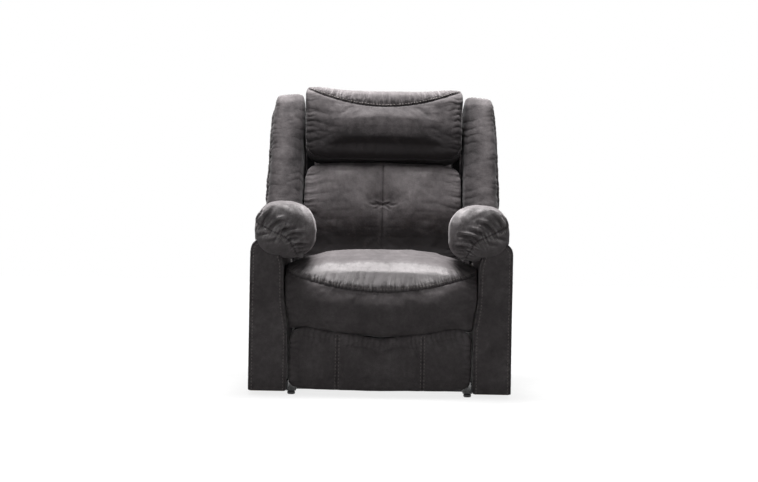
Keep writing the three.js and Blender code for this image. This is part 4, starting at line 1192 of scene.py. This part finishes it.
def stitch_tree():
    """The node tree that lays stitches of a given length, thickness and pitch along lines."""
    tree = bpy.data.node_groups.new("Topstitching", "GeometryNodeTree")
    tree.is_modifier = True
    kinds = {"Lines": "Geometry", "Pitch": "Float", "Length": "Float", "Thickness": "Float", "Thread": "Material"}
    for name, kind in kinds.items():
        socket = tree.interface.new_socket(name, in_out="INPUT", socket_type="NodeSocket" + kind)
        if kind == "Float":
            socket.min_value = 0.0001
    tree.interface.new_socket("Stitches", in_out="OUTPUT", socket_type="NodeSocketGeometry")
    given = add(tree, "NodeGroupInput").outputs
    curve = add(tree, "GeometryNodeMeshToCurve", {"Mesh": given["Lines"]}).outputs["Curve"]
    spaced = {"Curve": curve, "Length": given["Pitch"]}
    even = add(tree, "GeometryNodeResampleCurve", spaced, mode="LENGTH").outputs["Curve"]
    drop = add(tree, "GeometryNodeMeshUVSphere", {"Segments": 6, "Rings": 4, "Radius": 0.5}).outputs["Mesh"]
    tangent = add(tree, "GeometryNodeInputTangent").outputs["Tangent"]
    turn = add(tree, "FunctionNodeAlignRotationToVector", {"Vector": tangent}, axis="X").outputs["Rotation"]
    sizes = {"X": given["Length"], "Y": given["Thickness"], "Z": given["Thickness"]}
    size = add(tree, "ShaderNodeCombineXYZ", sizes).outputs["Vector"]
    placed = {"Points": even, "Instance": drop, "Rotation": turn, "Scale": size}
    sewn = add(tree, "GeometryNodeInstanceOnPoints", placed).outputs["Instances"]
    whole = add(tree, "GeometryNodeRealizeInstances", {"Geometry": sewn}).outputs["Geometry"]
    tinted = {"Geometry": whole, "Material": given["Thread"]}
    final = add(tree, "GeometryNodeSetMaterial", tinted).outputs["Geometry"]
    add(tree, "NodeGroupOutput", {"Stitches": final})
    return tree


class RECLINER_OT_topstitching(bpy.types.Operator):
    """The rows of topstitching on each body's covers"""

    bl_idname = "recliner.topstitching"
    bl_label = "Topstitching"

    def execute(self, context):
        sizes = context.scene.recliner_stitching
        tree = bpy.data.node_groups.get("Topstitching") or stitch_tree()
        thread = material_called("bonded_nylon_thread", bonded_thread, context.scene.recliner_finishes)
        values = {"Pitch": sizes.pitch, "Length": sizes.length, "Thickness": sizes.thickness, "Thread": thread}
        for body, rows in ROWS.items():
            points, edges = [], []
            for row in rows:
                start = len(points)
                points += row
                edges += [(at, at + 1) for at in range(start, len(points) - 1)]
            mesh = bpy.data.meshes.new("topstitching_" + body)
            mesh.from_pydata(points, edges, [])
            piece = linked("topstitching_" + body, mesh)
            laid = piece.modifiers.new("Stitches", "NODES")
            laid.node_group = tree
            for item in tree.interface.items_tree:
                if item.in_out == "INPUT" and item.name in values:
                    laid[item.identifier] = values[item.name]
            settled(piece)
            dressed(piece, thread)
            piece.data.shade_smooth()
            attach(piece, body)
        return {"FINISHED"}


# ---------------------------------------------------------------- frame and linkage


class RECLINER_OT_frame_finishes(bpy.types.Operator):
    """The finish of every piece of timber, steel, webbing and plastic in the frame"""

    bl_idname = "recliner.frame_finishes"
    bl_label = "Frame Finishes"

    def execute(self, context):
        finishes = context.scene.recliner_finishes
        pine = [material_called("planed_pine_" + axis, sawn_pine, finishes, at) for at, axis in enumerate("xyz")]
        steel = material_called("electrocoated_steel", coated_plate, finishes)
        wire = material_called("drawn_spring_wire", drawn_wire, finishes)
        web = material_called("elastic_webbing", elastic_webbing, finishes)
        cambric = material_called("black_cambric", black_cambric)
        nylon = material_called("moulded_nylon", moulded_plastic, finishes, "moulded_nylon", 2.2, 0.45)
        abs_plastic = material_called("moulded_abs", moulded_plastic, finishes, "moulded_abs", 1.6, 0.38)
        finish_of = {"seat_spring": wire, "back_webbing": web, "glide": nylon, "release": abs_plastic}
        finish_of |= dict.fromkeys(("back_post", "back_top", "foot_board"), cambric)
        finish_of |= dict.fromkeys(("seat_side", "seat_front", "seat_rear", "back_bottom", "arm_frame"), pine)
        covered = ("seat_cushion", "lumbar", "headrest", "wing", "arm_pad", "arm_cover", "back_cover", "foot_pad")
        for name, part in CAD.items():
            if name.startswith(covered):
                continue
            finish = next((finish for start, finish in finish_of.items() if name.startswith(start)), steel)
            if finish is pine:  # the grain runs along the piece's longest side
                low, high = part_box(name)
                finish = pine[np.argmax(high - low)]
            dressed(part, finish)
        return {"FINISHED"}


# ---------------------------------------------------------------- stage


def lamp(name, place, aim, size, power):
    """A white soft box that points at a place."""
    light = bpy.data.lights.new(name, "AREA")
    light.shape = "RECTANGLE"
    light.size, light.size_y = size
    light.energy = power
    box = bpy.data.objects.new(name, light)
    box.location = place
    box.rotation_euler = (Vector(aim) - Vector(place)).to_track_quat("-Z", "Y").to_euler()
    bpy.context.scene.collection.objects.link(box)


class RECLINER_OT_stage(bpy.types.Operator):
    """The floor, the camera, two soft boxes and the even light all round"""

    bl_idname = "recliner.stage"
    bl_label = "Stage"

    def execute(self, context):
        scene = context.scene
        choice = scene.recliner_stage
        white = tone("#ffffff")
        scene.view_settings.view_transform = "Standard"

        mesh = bpy.data.meshes.new("floor")
        work = bmesh.new()
        bmesh.ops.create_grid(work, x_segments=2, y_segments=2, size=12)
        work.to_mesh(mesh)
        work.free()
        floor = linked("floor", mesh)
        material, tree, place = begin("white_paper_floor")
        speck = add(tree, "ShaderNodeTexNoise", {"Vector": place, "Scale": sized(60), "Detail": 2.0}).outputs["Fac"]
        colour = add(tree, "ShaderNodeValToRGB", {"Fac": speck}, [(0.3, tone("#606060")), (0.7, tone("#666666"))])
        rays = add(tree, "ShaderNodeLightPath").outputs
        looks = {0: rays["Is Camera Ray"], 1: rays["Is Glossy Ray"]}
        seen = add(tree, "ShaderNodeMath", looks, operation="MAXIMUM").outputs[0]
        # the paper is lit from below, more so further out, so that only the chair's own shadow shows
        away = add(tree, "ShaderNodeVectorMath", {0: place}, operation="LENGTH").outputs["Value"]
        reach = {"Value": away, "From Min": 0.7, "From Max": 1.9, "To Min": 0.8, "To Max": 1.0}
        spread = add(tree, "ShaderNodeMapRange", reach).outputs["Result"]
        glow = add(tree, "ShaderNodeMath", {0: seen, 1: spread}, operation="MULTIPLY").outputs[0]
        paper = {"Base Color": colour.outputs["Color"], "Roughness": 0.9}
        surfaced(tree, paper | {"Emission Color": white, "Emission Strength": glow})
        dressed(floor, material)

        camera = bpy.data.cameras.new("camera")
        camera.lens = choice.lens
        camera.sensor_width = 36
        camera.clip_start, camera.clip_end = 0.05, 60
        eye = bpy.data.objects.new("camera", camera)
        eye.location = (0, -choice.distance, choice.eye)
        eye.rotation_euler = (math.radians(90) - choice.tilt, choice.roll, 0)
        # the chair stands a little to the right of the middle of the view
        camera.shift_x = -0.0042
        scene.collection.objects.link(eye)
        scene.camera = eye

        lamp("soft_box_above", (-0.05, 0.06, 2.6), (0, 0.0, 0.5), (1.5, 0.9), choice.top_light)
        lamp("soft_box_front", (-1.2, -4.2, 2.2), (0, -0.1, 0.6), (1.8, 1.8), choice.front_light)

        # the studio looks white, but lights the chair only as much as the even light all round
        world = bpy.data.worlds.new("studio")
        world.use_nodes = True
        tree = world.node_tree
        tree.nodes.clear()
        rays = add(tree, "ShaderNodeLightPath").outputs
        seen = rays["Is Camera Ray"]
        for kind in ("Is Glossy Ray", "Is Transmission Ray"):
            seen = add(tree, "ShaderNodeMath", {0: seen, 1: rays[kind]}, operation="MAXIMUM").outputs[0]
        lit, looks = (
            add(tree, "ShaderNodeBackground", {"Color": white, "Strength": strength}).outputs[0]
            for strength in (choice.fill, 1.0)
        )
        both = add(tree, "ShaderNodeMixShader", {0: seen, 1: lit, 2: looks})
        add(tree, "ShaderNodeOutputWorld", {"Surface": both.outputs[0]})
        scene.world = world
        return {"FINISHED"}


# ---------------------------------------------------------------- add-on


CHOICES = {
    "recliner_finishes": RECLINER_PG_finishes,
    "recliner_padding": RECLINER_PG_padding,
    "recliner_stitching": RECLINER_PG_stitching,
    "recliner_stage": RECLINER_PG_stage,
}
STEPS = (
    RECLINER_OT_stage,
    RECLINER_OT_seat_cushion,
    RECLINER_OT_lumbar_cushion,
    RECLINER_OT_headrest_pillow,
    RECLINER_OT_wings,
    RECLINER_OT_arm_pads,
    RECLINER_OT_arm_covers,
    RECLINER_OT_back_cover,
    RECLINER_OT_foot_pad,
    RECLINER_OT_topstitching,
    RECLINER_OT_frame_finishes,
)


class RECLINER_PT_panel(bpy.types.Panel):
    """The recliner's pieces and choices"""

    bl_idname = "RECLINER_PT_panel"
    bl_label = "Recliner Armchair"
    bl_space_type = "VIEW_3D"
    bl_region_type = "UI"
    bl_category = "Recliner"

    def draw(self, context):
        for step in STEPS:
            self.layout.operator(step.bl_idname)
        for name in CHOICES:
            group = getattr(context.scene, name)
            box = self.layout.box()
            for choice in group.bl_rna.properties:
                if choice.identifier not in {"rna_type", "name"}:
                    box.prop(group, choice.identifier)


def register():
    for group in CHOICES.values():
        bpy.utils.register_class(group)
    for step in STEPS:
        bpy.utils.register_class(step)
    bpy.utils.register_class(RECLINER_PT_panel)
    for name, group in CHOICES.items():
        setattr(bpy.types.Scene, name, PointerProperty(type=group))


def unregister():
    for name in CHOICES:
        delattr(bpy.types.Scene, name)
    bpy.utils.unregister_class(RECLINER_PT_panel)
    for step in reversed(STEPS):
        bpy.utils.unregister_class(step)
    for group in reversed(list(CHOICES.values())):
        bpy.utils.unregister_class(group)


def main():
    """Upholsters the frame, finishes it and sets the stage."""
    register()
    for step in STEPS:
        getattr(bpy.ops.recliner, step.bl_idname.split(".")[1])()


if __name__ == "__main__":
    main()
